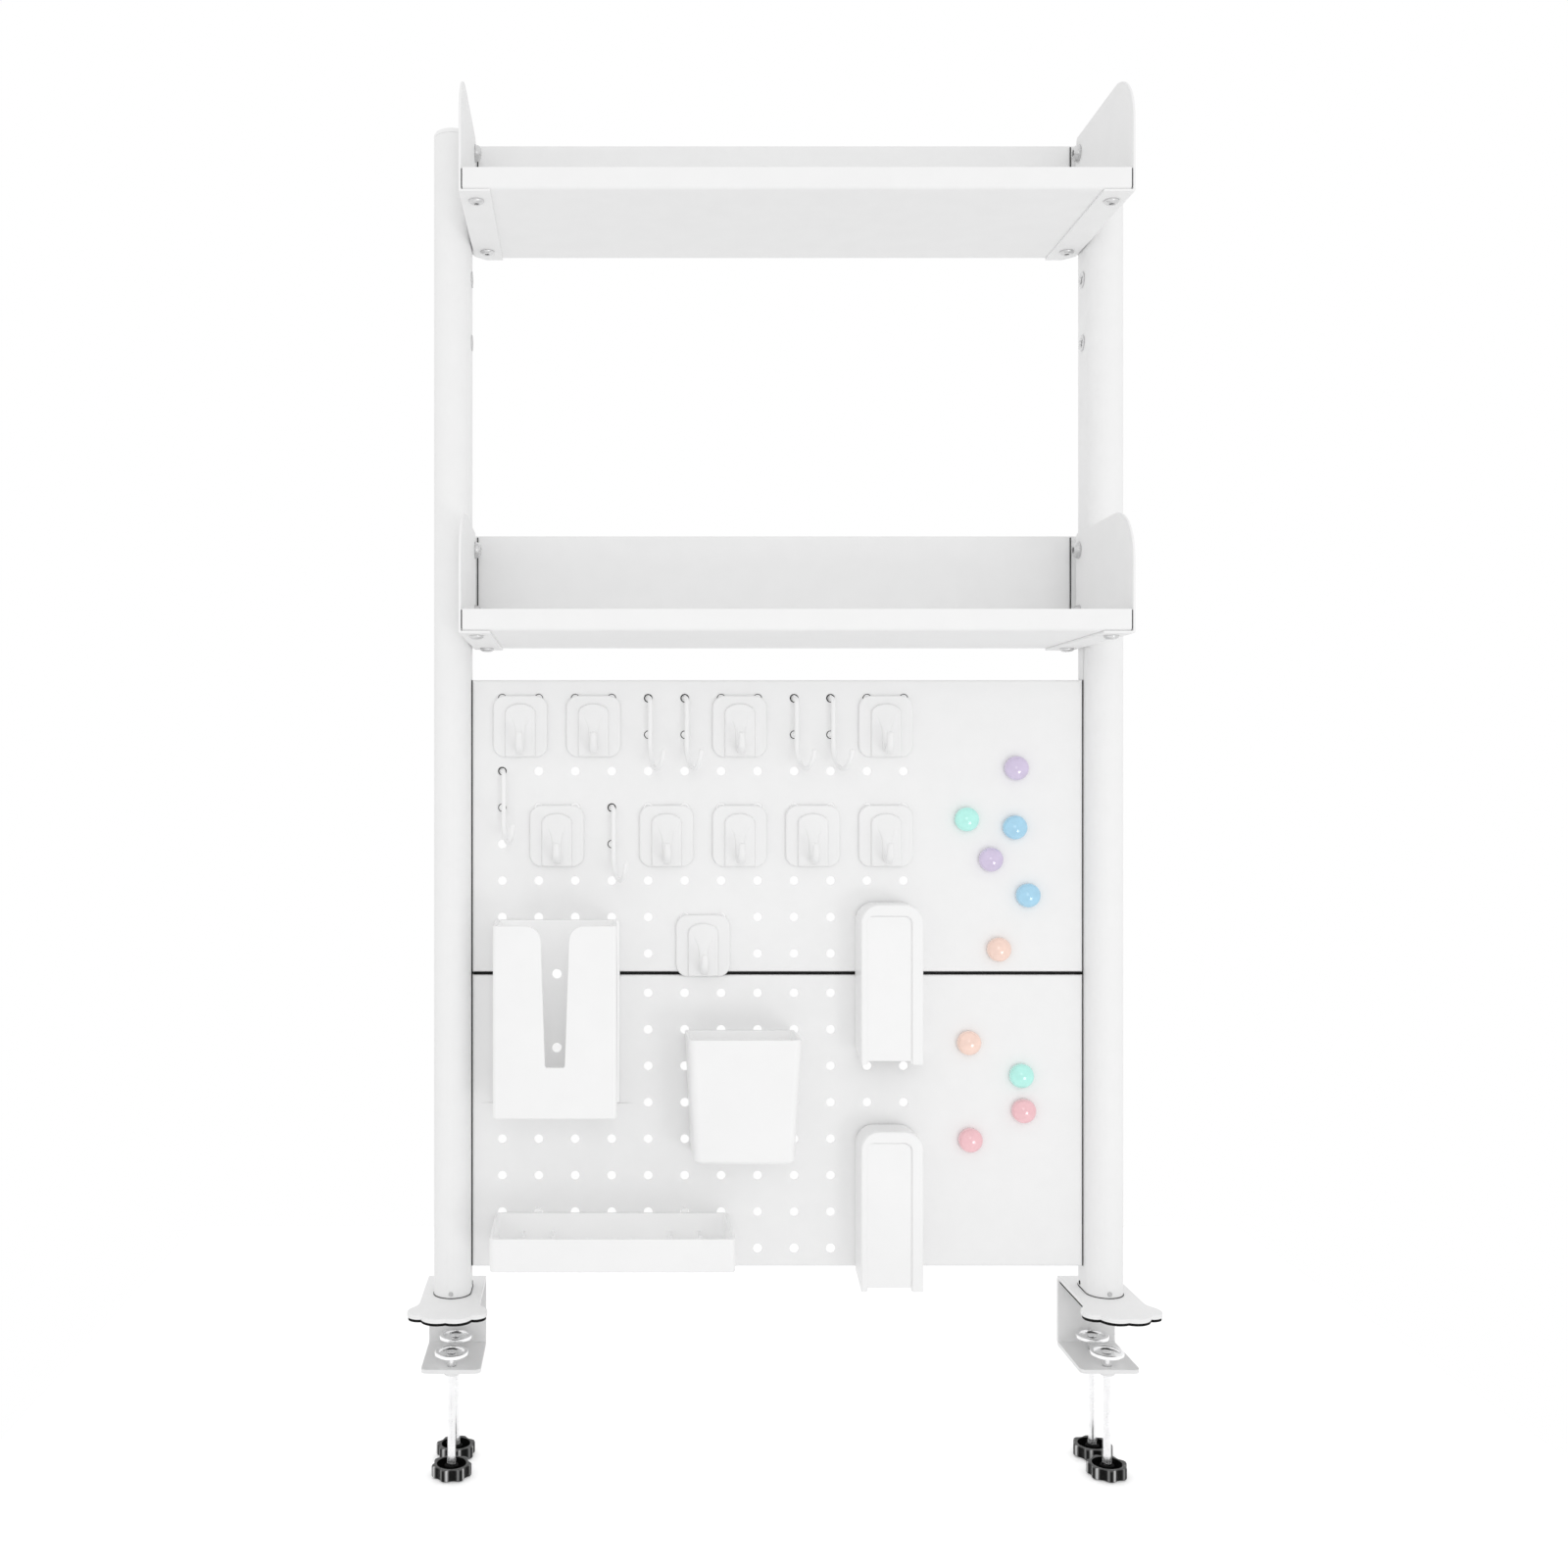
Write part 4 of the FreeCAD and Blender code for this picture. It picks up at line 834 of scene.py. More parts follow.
def seen_or_mirrored(nodes, links):
    """Return a socket that is 1 for camera, glossy and transmission rays."""
    ray = nodes.new("ShaderNodeLightPath")
    seen = ray.outputs["Is Camera Ray"]
    for kind in ("Is Glossy Ray", "Is Transmission Ray"):
        either = nodes.new("ShaderNodeMath")
        either.operation = "MAXIMUM"
        links.new(seen, either.inputs[0])
        links.new(ray.outputs[kind], either.inputs[1])
        seen = either.outputs["Value"]
    return seen


def sky_light():
    """Light evenly from all around, and show white to the camera and in reflections."""
    world = bpy.data.worlds.new("studio")
    bpy.context.scene.world = world
    world.use_nodes = True
    nodes = world.node_tree.nodes
    links = world.node_tree.links
    even = nodes["Background"]
    set_values(even, {"Color": WHITE, "Strength": bpy.context.scene.organizer_stage.sky})
    white = nodes.new("ShaderNodeBackground")
    set_values(white, {"Color": WHITE, "Strength": 1.0})
    mix = nodes.new("ShaderNodeMixShader")
    links.new(seen_or_mirrored(nodes, links), mix.inputs["Fac"])
    links.new(even.outputs["Background"], mix.inputs[1])
    links.new(white.outputs["Background"], mix.inputs[2])
    links.new(mix.outputs["Shader"], nodes["World Output"].inputs["Surface"])


def floor_paint():
    """Return the floor's matt white, which the camera sees as the white around it."""
    material, nodes, shader = new_material("studio_floor")
    base = (FLOOR_WHITE, FLOOR_WHITE, FLOOR_WHITE, 1.0)
    set_values(shader, {"Base Color": base, "Roughness": 0.9, "Specular IOR Level": 0.1})
    links = material.node_tree.links
    glow = nodes.new("ShaderNodeEmission")
    glow.inputs["Color"].default_value = WHITE
    lift = nodes.new("ShaderNodeMath")
    lift.operation = "MULTIPLY"
    lift.inputs[1].default_value = FLOOR_LIFT
    links.new(seen_or_mirrored(nodes, links), lift.inputs[0])
    links.new(lift.outputs["Value"], glow.inputs["Strength"])
    both = nodes.new("ShaderNodeAddShader")
    links.new(shader.outputs["BSDF"], both.inputs[0])
    links.new(glow.outputs["Emission"], both.inputs[1])
    links.new(both.outputs["Shader"], nodes["Material Output"].inputs["Surface"])
    return material


def area_lamp(name, place, size, watts, mirrored):
    """Add a large soft lamp that points at the object, and may show in glossy surfaces."""
    light = bpy.data.lights.new(name, "AREA")
    light.shape = "SQUARE"
    light.size = size
    light.energy = watts
    lamp = bpy.data.objects.new(name, light)
    lamp.location = place
    lamp.rotation_euler = (Vector(AIM) - Vector(place)).to_track_quat("-Z", "Y").to_euler()
    lamp.visible_glossy = mirrored
    bpy.context.scene.collection.objects.link(lamp)


class ORGANIZER_OT_stage(bpy.types.Operator):
    """Set up the floor, the soft studio light and the camera"""

    bl_idname = "organizer.stage"
    bl_label = "Stage"

    def execute(self, context):
        stage = context.scene.organizer_stage
        context.scene.view_settings.view_transform = "Standard"
        sky_light()
        low = CAD_BOX[0][2] - stage.floor_gap
        half = stage.floor_half
        mesh = bpy.data.meshes.new("floor")
        corners = [(-half, -half, low), (half, -half, low), (half, half, low), (-half, half, low)]
        mesh.from_pydata(corners, [], [(0, 1, 2, 3)])
        floor = painted(add_object("floor", mesh), floor_paint())
        for name, place, size, mirrored in LAMPS:
            area_lamp(name, place, size, getattr(stage, f"{name}_power"), mirrored)
        lens = bpy.data.cameras.new("camera")
        lens.lens = stage.lens
        lens.sensor_width = 36.0
        lens.shift_x = stage.shift_x
        camera = bpy.data.objects.new("camera", lens)
        camera.location = (stage.camera_x, stage.camera_y, stage.camera_z)
        camera.rotation_euler = (math.pi / 2, 0, 0)
        context.scene.collection.objects.link(camera)
        context.scene.camera = camera
        return {"FINISHED"}


# ---------------------------------------------------------------- frame


class ORGANIZER_OT_posts(bpy.types.Operator):
    """Finish the two posts and their caps"""

    bl_idname = "organizer.posts"
    bl_label = "Posts"

    def execute(self, context):
        for side in SIDES:
            softened(f"{side}_post", "powder_coat", sizes().tube_edge)
            softened(f"{side}_post_cap", "cap_plastic", sizes().tube_edge)
        return {"FINISHED"}


class ORGANIZER_OT_clamps(bpy.types.Operator):
    """Finish the clamp brackets and the rubber pads under them"""

    bl_idname = "organizer.clamps"
    bl_label = "Clamps"

    def execute(self, context):
        for side in SIDES:
            softened(f"{side}_clamp_bracket", "powder_coat", sizes().sheet_edge)
            softened(f"{side}_desk_pad", "pad_rubber", sizes().rubber_edge)
        return {"FINISHED"}


class ORGANIZER_OT_shelves(bpy.types.Operator):
    """Finish the two shelves' decks and side plates"""

    bl_idname = "organizer.shelves"
    bl_label = "Shelves"

    def execute(self, context):
        for level in LEVELS:
            for plate in ("deck", "left_side", "right_side"):
                softened(f"{level}_shelf_{plate}", "powder_coat", sizes().sheet_edge)
        return {"FINISHED"}


# ---------------------------------------------------------------- clamp screws


def disc_mesh(name, centre):
    """Return a press disc: pressed rim, dished top and a boss below, its top at the centre."""
    rim, dish, bore, foot = 11.3, 8.5, 2.05, DISC_THICK + DISC_BOSS
    outline = [(bore, -foot), (4.3, -foot), (4.6, 0.3 - foot), (4.85, -DISC_THICK - 0.3)]
    outline += [(5.3, -DISC_THICK), (rim - 1.5, -DISC_THICK)]
    outline += rounded_corner(rim - 1.0, 1.0 - DISC_THICK, 1.0, -90, 0)
    outline += rounded_corner(rim - 0.6, -0.6, 0.6, 0, 90)
    outline += rounded_corner(dish + 0.6, -0.5, 0.5, 90, 180, 3)
    outline += [(dish, 0.4 - DISH_DEPTH), (dish - 0.4, -DISH_DEPTH), (2.4, -DISH_DEPTH)]
    outline += [(bore, -DISH_DEPTH - 0.3), outline[0]]
    return lathed(name, outline, centre)


def rod_core(name, centre, length_mm):
    """Return a rod's core with its neck and the rivet head in the disc's dish, from its foot."""
    core, end, neck, rivet = 2.5, 2.3, 2.0, 2.85
    shoulder = length_mm - DISC_THICK - DISC_BOSS - ROD_PLAY
    head = length_mm - DISH_DEPTH + ROD_PLAY
    outline = [(0, 0), (end, 0), (core, 0.3), (core, shoulder - 0.5), (end, shoulder - 0.1)]
    outline += [(neck, shoulder), (neck, head), (rivet + 0.05, head)]
    outline += rounded_corner(rivet, head + 0.45, 0.45, -90, 45, 4)
    outline += [(2.2, head + 0.82), (1.1, head + 0.9), (0, head + 0.9)]
    return lathed(name, outline, centre, 32)


def knob_radius(angle, half_step, lobe_half):
    """Return a star knob's outer radius in millimetres, at an angle from a lobe's middle."""
    crown, lobe, flute = 13.7, 13.45, 11.8
    away = abs(angle)
    if away <= lobe_half:
        return crown - (crown - lobe) * (away / lobe_half) ** 2
    along = (away - lobe_half) / (half_step - lobe_half)
    return flute + (lobe - flute) * (1 - along) ** 2


def knob_lobe(name):
    """Return one lobe of a star knob and its share of the dish and hub, from axis to rim, with painted
    highlights stored on its vertices.
    """
    step = 2 * math.pi / KNOB_LOBES
    lobe_half = step * 0.17
    high, floor, dish, hub, hub_top, bore = 8.0, 2.5, 9.9, 4.8, 7.0, 3.0
    # Painted highlights: strengths and widths of the bright streaks on a lobe's two flanks, and the
    # fainter one along the rim.
    front_glint, front_spread, back_glint, back_spread, rim_glint = 1.0, 0.06, 0.35, 0.05, 0.12
    bm = bmesh.new()
    sheen = bm.verts.layers.float.new("sheen")
    rows = []
    for angle in [i * step / 16 for i in range(-8, 9)]:
        outer = knob_radius(angle, step / 2, lobe_half)
        glint = front_glint * math.exp(-(((angle - lobe_half) / front_spread) ** 2))
        glint = max(glint, back_glint * math.exp(-(((angle + lobe_half) / back_spread) ** 2)))
        outline = [(bore, 0), (outer - 0.9, 0), (outer - 0.35, 0.2), (outer, 0.8)]
        outline += [(outer, high - 0.9), (outer - 0.3, high - 0.25), (outer - 0.9, high)]
        outline += [(dish + 0.5, high), (dish + 0.1, high - 0.3), (dish - 0.1, floor + 0.8)]
        outline += [(dish - 0.8, floor), (hub + 0.7, floor), (hub, floor + 0.7), (hub, hub_top - 0.5)]
        outline += [(hub - 0.5, hub_top), (bore, hub_top)]
        row = []
        for radius, height in outline:
            point = Vector((radius * math.cos(angle), radius * math.sin(angle), height)) * MM
            vert = bm.verts.new(point)
            # Painted highlight: flank vertices take the glint, rim vertices the rim glint.
            on_side = radius > outer - 0.5 and height > 0.5
            on_rim = height > high - 0.5 and radius > dish
            vert[sheen] = max(glint if on_side else 0.0, rim_glint if on_rim else 0.0)
            row.append(vert)
        rows.append(row)
    for low, high_row in zip(rows, rows[1:]):
        count = len(low)
        for i in range(count):
            j = (i + 1) % count
            bm.faces.new((low[i], high_row[i], high_row[j], low[j]))
    return mesh_from(bm, name)


def welded(piece):
    """Merge a piece's doubles and turn its faces outwards."""
    bm = bmesh.new()
    bm.from_mesh(piece.data)
    bmesh.ops.remove_doubles(bm, verts=bm.verts, dist=SAME_POINT / 2)
    bmesh.ops.recalc_face_normals(bm, faces=bm.faces)
    bm.to_mesh(piece.data)
    bm.free()
    return piece


class ORGANIZER_OT_clamp_screws(bpy.types.Operator):
    """Make the four clamp screws: threaded rods, press discs and star knobs"""

    bl_idname = "organizer.clamp_screws"
    bl_label = "Clamp screws"

    def execute(self, context):
        for clamp in KNOB_TURNS:
            foot, rod_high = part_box(f"{clamp}_clamp_rod")
            axis = Vector(((foot.x + rod_high.x) / 2, (foot.y + rod_high.y) / 2, foot.z))
            top = Vector((axis.x, axis.y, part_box(f"{clamp}_press_disc")[1].z))
            self.disc(clamp, top)
            self.rod(clamp, axis, top)
            self.knob(clamp, axis)
        return {"FINISHED"}

    def disc(self, clamp, top):
        """Add a press disc."""
        piece = add_object(f"{clamp}_disc", disc_mesh("disc", top))
        painted(shaded(piece, 40), finish("bright_zinc"))
        attached(piece, f"{clamp}_disc", "disc_steel", f"{clamp}_press_disc")

    def rod(self, clamp, axis, top):
        """Add a rod with its thread, which runs between the knob and the disc."""
        radius, knob_end, disc_end = 3.0 * MM, 8.0 * MM, 6.0 * MM
        ridge = sizes().thread_depth
        length_m = top.z - disc_end - axis.z - knob_end
        piece = add_object(f"{clamp}_rod", rod_core("rod", axis, (top.z - axis.z) / MM))
        values = {
            "Radius": radius - ridge,
            "Turns": length_m / sizes().thread_pitch,
            "Length": length_m,
            "Ridge": ridge,
            "Foot": (axis.x, axis.y, axis.z + knob_end),
            "Material": finish("bright_zinc"),
        }
        run_tree(piece, "thread", values)
        painted(shaded(piece, 50), finish("bright_zinc"))
        attached(piece, f"{clamp}_screw", "rod_steel", f"{clamp}_clamp_rod")

    def knob(self, clamp, axis):
        """Add a star knob, with painted shade in its dish: the dish and hub take the near-black steel."""
        floor, dish = 1.0 * MM, 10.1 * MM
        turns = [KNOB_TURNS[clamp] + 2 * math.pi * i / KNOB_LOBES for i in range(KNOB_LOBES)]
        places = [((0, 0, 0), (0, 0, turn)) for turn in turns]
        piece = repeated(f"{clamp}_knob", knob_lobe("lobe"), places, finish("knob_plastic"))
        piece.data.transform(Matrix.Translation(axis))
        painted(shaded(welded(piece), 40), finish("knob_plastic"))
        # Painted shade: faces in the dish, above its floor, take the near-black steel.
        piece.data.materials.append(finish("bore_steel"))
        for face in piece.data.polygons:
            away = face.center - axis
            if away.z > floor and away.xy.length < dish:
                face.material_index = 1
        attached(piece, f"{clamp}_screw", "knob_plastic", f"{clamp}_clamp_knob")


# ---------------------------------------------------------------- fasteners


def button_head(name, head, height, socket, shank, grip, flange=0.0, flange_r=0.0):
    """Return a button-head bolt standing on z = 0: crown, hexagon socket, and shank below."""
    sides = 36
    crown = flange + height
    outline = [(shank, -grip), (shank, 0)]
    if flange:
        outline += [(flange_r - 0.2, 0), (flange_r, 0.2), (flange_r, flange - 0.2)]
        outline += [(flange_r - 0.3, flange), (head + 0.1, flange)]
    else:
        outline += [(head - 0.1, 0)]
    outline += [(head, flange + 0.15), (head, flange + 0.3 * height)]
    outline += [(head * 0.95, flange + 0.52 * height), (head * 0.86, flange + 0.72 * height)]
    outline += [(head * 0.74, flange + 0.88 * height), (head * 0.62, crown - 0.02)]
    outline += [(socket * 1.28, crown), (socket * 1.2, crown - 0.08)]
    bm = bmesh.new()
    rings = [circle_ring(bm, r, h, sides) for r, h in outline]
    mouth = hexagon_ring(bm, socket * 1.02, crown - 0.12, sides)
    inner = hexagon_ring(bm, socket * 0.99, crown - 0.3, sides)
    deep = hexagon_ring(bm, socket * 0.97, flange + 0.3 * height, sides)
    rings += [mouth, inner, deep]
    rings.append([bm.verts.new((0, 0, (flange + 0.2 * height) * MM))])
    rings.insert(0, [bm.verts.new((0, 0, -grip * MM))])
    for low, high in zip(rings, rings[1:]):
        bridge(bm, low, high)
    bmesh.ops.recalc_face_normals(bm, faces=bm.faces)
    return mesh_from(bm, name)


def circle_ring(bm, radius, height, sides):
    """Return the points of a circle, in millimetres."""
    return [bm.verts.new((x, y, height * MM)) for x, y in circle(radius * MM, sides)]


def hexagon_ring(bm, across, height, sides):
    """Return the points of a hexagon, in millimetres, half its width across flats given."""
    ring = []
    for i in range(sides):
        angle = 2 * math.pi * i / sides
        off = (angle + math.pi / 6) % (math.pi / 3) - math.pi / 6
        radius = across / math.cos(off)
        point = Vector((radius * math.cos(angle), radius * math.sin(angle), height))
        ring.append(bm.verts.new(point * MM))
    return ring


def rivet_nut(name, rim, bore, body, length):
    """Return a rivet nut whose rim stands on z = 0, with its threads inside."""
    rim_height, chamfer, pitch = 0.8, 0.45, 1.0
    outline = [(body, -length), (body, 0), (rim - 0.15, 0), (rim, 0.15), (rim, rim_height - 0.25)]
    depth = rim_height - chamfer
    outline += [(rim - 0.3, rim_height), (bore + chamfer, rim_height), (bore, depth)]
    crest = bore - 0.35
    while depth > 1.5 - length:
        outline += [(crest, depth - pitch / 2), (bore, depth - pitch)]
        depth -= pitch
    outline += [(bore, -length), (body, -length)]
    return lathed(name, outline, sides=36)


class ORGANIZER_OT_fasteners(bpy.types.Operator):
    """Set the bolts, screws and rivet nuts of posts, shelves and boards"""

    bl_idname = "organizer.fasteners"
    bl_label = "Fasteners"

    def execute(self, context):
        down = facing((0, 0, -1))
        forward = facing((0, -1, 0))
        places = {name: [] for name in ("m6", "m5", "m4", "front", "side", "large", "small")}

        def put(name, side, x, y, z, turn):
            places[name].append((Vector((side * x, y, z)) * MM, turn))

        for side in SIDES.values():
            inward = facing((-side, 0, 0))
            for z in SHELF_BOLT_Z:
                put("m6", side, SHELF_SEAT, POST_Y, z, inward)
            for z in SHELF_BOLT_Z + FREE_NUT_Z:
                put("large", side, POST_FACE, POST_Y, z, inward)
            for z in BOARD_BOLT_Z:
                put("m5", side, BOARD_SEAT, BOARD_BOLT_Y, z, inward)
                put("small", side, POST_FACE, BOARD_BOLT_Y, z, inward)
            for base in SHELF_BASE_Z.values():
                for y in SIDE_SCREW_Y:
                    put("m4", side, SIDE_SCREW_X, y, base, down)
            put("front", side, POST_X, POST_Y - POST_HALF_DEPTH, FOOT_SCREW_Z, forward)
            put("side", side, POST_FACE, SIDE_FOOT_Y, FOOT_SCREW_Z, inward)
        foot = button_head("m3", 1.45, 0.25, 0.75, 1.2, 3.7)
        m6 = button_head("m6", 5.3, 3.2, 2.0, 2.9, 10.5, 1.0, 5.9)
        m5 = button_head("m5", 4.1, 2.6, 1.6, 2.4, 9.5)
        m4 = button_head("m4", 4.8, 2.4, 1.5, 1.9, 4.2)
        large = rivet_nut("m6_nut", 5.5, 3.0, 4.45, 12.0)
        small = rivet_nut("m5_nut", 4.4, 2.5, 3.55, 11.0)
        groups = (
            ("shelf_post_bolts_finish", m6, "m6", 2.3, 4.15, ["shelf_post_bolts"]),
            ("pegboard_bolts_finish", m5, "m5", 1.85, 2.55, ["pegboard_bolts"]),
            ("shelf_side_screws_finish", m4, "m4", 1.75, 2.35, ["shelf_side_screws"]),
            ("post_foot_screws_finish", foot, "front", 0.9, 0.2, ["post_foot_screws"]),
            ("side_foot_screws", foot, "side", 0, 0, []),
            ("nuts_large", large, "large", 3.1, 0.4, ["post_rivet_nuts"]),
            ("nuts_small", small, "small", 2.6, 0.4, []),
        )
        for name, source, spots, bore, top, nodes in groups:
            # Sockets and bores take painted shade from darkened; the side foot screws, with no bore
            # given, are near-black all over.
            plate = finish("fastener_plate" if bore else "bore_steel")
            piece = shaded(repeated(name, source, places[spots], plate), 40)
            if bore:
                darkened(piece, source, bore, top)
            attached(piece, FIXED_BODY, "fastener_steel", *nodes)
        return {"FINISHED"}


# ---------------------------------------------------------------- pegboards


def hole_cell(name, half, front):
    """Return a square of sheet round a hole with rolled rims, its middle on the Y axis."""
    radius, rim, back = sizes().hole_radius, sizes().hole_rim, front + sizes().board_sheet
    near = 0.3 * rim
    outline = [(radius + rim, front), (radius + near, front + near), (radius, front + rim)]
    outline += [(radius, back - rim), (radius + near, back - near), (radius + rim, back)]
    bm = bmesh.new()
    rings = [[bm.verts.new((x, y, z)) for x, z in circle(r, 32)] for r, y in outline]
    for low, high in zip(rings, rings[1:]):
        bridge(bm, low, high)
    for ring, y in ((rings[0], front), (rings[-1], back)):
        fan_to_square(bm, ring, half, y)
    bmesh.ops.recalc_face_normals(bm, faces=bm.faces)
    return mesh_from(bm, name)


def fan_to_square(bm, ring, half, y):
    """Fill between a ring and the square round it."""
    count = len(ring)
    quarter = count // 4
    corners = [bm.verts.new((half * a, y, half * b)) for a, b in ((1, 1), (-1, 1), (-1, -1), (1, -1))]
    for i, corner in enumerate(corners):
        for j in range(quarter):
            bm.faces.new((ring[i * quarter + j], ring[(i * quarter + j + 1) % count], corner))
        meet = ring[(i + 1) * quarter % count]
        bm.faces.new((meet, corners[(i + 1) % 4], corner))


def folded_profile(radius, start, end, rim):
    """Return (outset, depth) points of a fold's quarter turn and its edge; rim goes inwards or out."""
    steps = 5
    turns = [math.pi / 2 * i / steps for i in range(1, steps + 1)]
    profile = [(radius * math.sin(a), start + radius * (1 - math.cos(a))) for a in turns]
    profile += [(radius, end - abs(rim)), (radius + 0.3 * rim, end - 0.3 * abs(rim)), (radius + rim, end)]
    return profile


def board_sheet(name, low, high, columns, rows, half):
    """Return a folded sheet with square windows: front, rolled bends, four flanges, back."""
    bend, sheet, rim = sizes().board_bend, sizes().board_sheet, 0.3 * MM
    xs = sorted([low.x + bend, high.x - bend] + [c + s * half for c in columns for s in (-1, 1)])
    zs = sorted([low.z + bend, high.z - bend] + [r + s * half for r in rows for s in (-1, 1)])
    bm = bmesh.new()
    front = low.y
    back = front + sheet
    faces = []
    for y in (front, back):
        points = [[bm.verts.new((x, y, z)) for z in zs] for x in xs]
        for i in range(len(xs) - 1):
            in_column = any(abs((xs[i] + xs[i + 1]) / 2 - c) < half for c in columns)
            for j in range(len(zs) - 1):
                in_row = any(abs((zs[j] + zs[j + 1]) / 2 - r) < half for r in rows)
                if not (in_column and in_row):
                    bm.faces.new((points[i][j], points[i + 1][j], points[i + 1][j + 1], points[i][j + 1]))
        faces.append(points)
    loops = [boundary(points) for points in faces]
    outer = folded_profile(bend, front, high.y, -rim)
    inner = folded_profile(bend - sheet, back, high.y, rim)
    last = []
    for loop, profile in zip(loops, (outer, inner)):
        ring = loop
        for out, y in profile:
            after = [bm.verts.new(pushed(v.co, low, high, bend, out, y)) for v in loop]
            bridge(bm, ring, after)
            ring = after
        last.append(ring)
    bridge(bm, last[0], last[1])
    bmesh.ops.remove_doubles(bm, verts=bm.verts, dist=SAME_POINT / 10)
    bmesh.ops.recalc_face_normals(bm, faces=bm.faces)
    return mesh_from(bm, name)


def boundary(points):
    """Return the outer loop of a grid of points."""
    left_up = points[0]
    top = [column[-1] for column in points[1:]]
    right_down = points[-1][-2::-1]
    bottom = [column[0] for column in points[-2:0:-1]]
    return left_up + top + right_down + bottom


def pushed(at, low, high, bend, out, y):
    """Return a boundary point moved outwards in the sheet's plane, at a new depth."""
    x, z = at.x, at.z
    if abs(x - (low.x + bend)) < SAME_POINT:
        x -= out
    elif abs(x - (high.x - bend)) < SAME_POINT:
        x += out
    if abs(z - (low.z + bend)) < SAME_POINT:
        z -= out
    elif abs(z - (high.z - bend)) < SAME_POINT:
        z += out
    return (x, y, z)


class ORGANIZER_OT_pegboards(bpy.types.Operator):
    """Make the two pegboards with their grids of rolled holes"""

    bl_idname = "organizer.pegboards"
    bl_label = "Pegboards"

    def execute(self, context):
        pitch = sizes().peg_pitch
        half = 6.0 * MM
        for level in LEVELS:
            node = f"{level}_pegboard"
            low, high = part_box(node)
            columns = [low.x + FIRST_COLUMN * MM + i * pitch for i in range(PEG_COLUMNS)]
            rows = [low.z + FIRST_ROW * MM + i * pitch for i in range(PEG_ROWS)]
            holder = add_object("cell", hole_cell("cell", half, low.y))
            board = add_object(f"{node}_finish", board_sheet(node, low, high, columns, rows, half))
            values = {
                "Cell": holder,
                "Columns": PEG_COLUMNS,
                "Rows": PEG_ROWS,
                "Width": columns[-1] - columns[0],
                "Height": rows[-1] - rows[0],
                "Middle": ((columns[0] + columns[-1]) / 2, 0.0, (rows[0] + rows[-1]) / 2),
                "Material": finish("powder_coat"),
            }
            run_tree(board, "perforation", values)
            bpy.data.objects.remove(holder)
            painted(shaded(welded(board), 40), finish("powder_coat"))
            attached(board, FIXED_BODY, "powder_coat", node)
        return {"FINISHED"}


def foot_shade_ring(name, x):
    """Add a thin black ring round a post's foot, on the clamp's top plate: painted shade where the post
    meets the plate.
    """
    turns = 16
    ends_y = POST_HALF_DEPTH - POST_HALF_WIDTH
    section = ((0.0, 5.02), (0.35, 5.02), (0.45, 5.12), (0.45, 5.4), (0.35, 5.5), (0.0, 5.5))
    bm = bmesh.new()
    rings = []
    for out, z in section:
        radius = POST_HALF_WIDTH + out
        ring = []
        for end in (1, -1):
            for angle in [math.pi * i / turns for i in range(turns + 1)]:
                away_x = end * radius * math.cos(angle)
                away_y = end * (ends_y + radius * math.sin(angle))
                ring.append(bm.verts.new(Vector((x + away_x, POST_Y + away_y, z)) * MM))
        rings.append(ring)
    for low, high in zip(rings, rings[1:] + rings[:1]):
        bridge(bm, low, high)
    bmesh.ops.recalc_face_normals(bm, faces=bm.faces)
    ring = painted(add_object(name, mesh_from(bm, name)), finish("pad_rubber"))
    attached(shaded(ring, 50), FIXED_BODY, "pad_rubber")


def side_shade_strip(name, side, near_x, far_x, low, high):
    """Add a strip of painted shade at one side of the frame, its y and z given as low and high corners.
    """
    xs = sorted((side * near_x, side * far_x))
    shade_strip(name, (xs[0], *low), (xs[1], *high))


class ORGANIZER_OT_seams(bpy.types.Operator):
    """Set black strips and rings of painted shade in the gaps round the boards, shelves and posts' feet
    """

    bl_idname = "organizer.seams"
    bl_label = "Seam strips"

    def execute(self, context):
        shade_strip("boards_seam", (-208.5, -33.9, 222.15), (208.5, -24.0, 223.85))
        for name, side in SIDES.items():
            foot_shade_ring(f"{name}_foot_ring", side * POST_X)
            side_shade_strip(f"{name}_post_seam", side, 209.3, 209.9, (-33.0, 22.0), (-24.0, 424.0))
            for level, base in SHELF_BASE_Z.items():
                floor = base + SHELF_SHEET
                low, high = (-13.3, floor + 3.0), (-12.6, floor + 77.5)
                side_shade_strip(f"{level}_{name}_corner_seam", side, 206.9, 207.6, low, high)
                low, high = (-140.4, floor + 1.5), (-136.0, floor + 13.0)
                side_shade_strip(f"{level}_{name}_lip_seam", side, 207.1, 207.6, low, high)
        return {"FINISHED"}


# ---------------------------------------------------------------- boxes and holders


class ORGANIZER_OT_boxes(bpy.types.Operator):
    """Finish the slotted box, the pen cup, the long tray and the two tall holders"""

    bl_idname = "organizer.boxes"
    bl_label = "Boxes and holders"

    def execute(self, context):
        for node, body in (("slotted_box", "box"), ("pen_cup", "cup"), ("long_tray", "tray")):
            # Painted light: faces inside each box glow, to lighten its insides.
            paint_light_inside(softened(node, "accessory_plastic", sizes().plastic_edge, body))
        for level in LEVELS:
            edge = sizes().holder_edge
            softened(f"{level}_tall_holder", "accessory_plastic", edge, f"{level}_holder")
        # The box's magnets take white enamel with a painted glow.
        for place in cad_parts["slotted_box_magnets"].material_slots:
            place.link = "OBJECT"
            place.material = finish("magnet_plate")
        return {"FINISHED"}


# ---------------------------------------------------------------- hooks


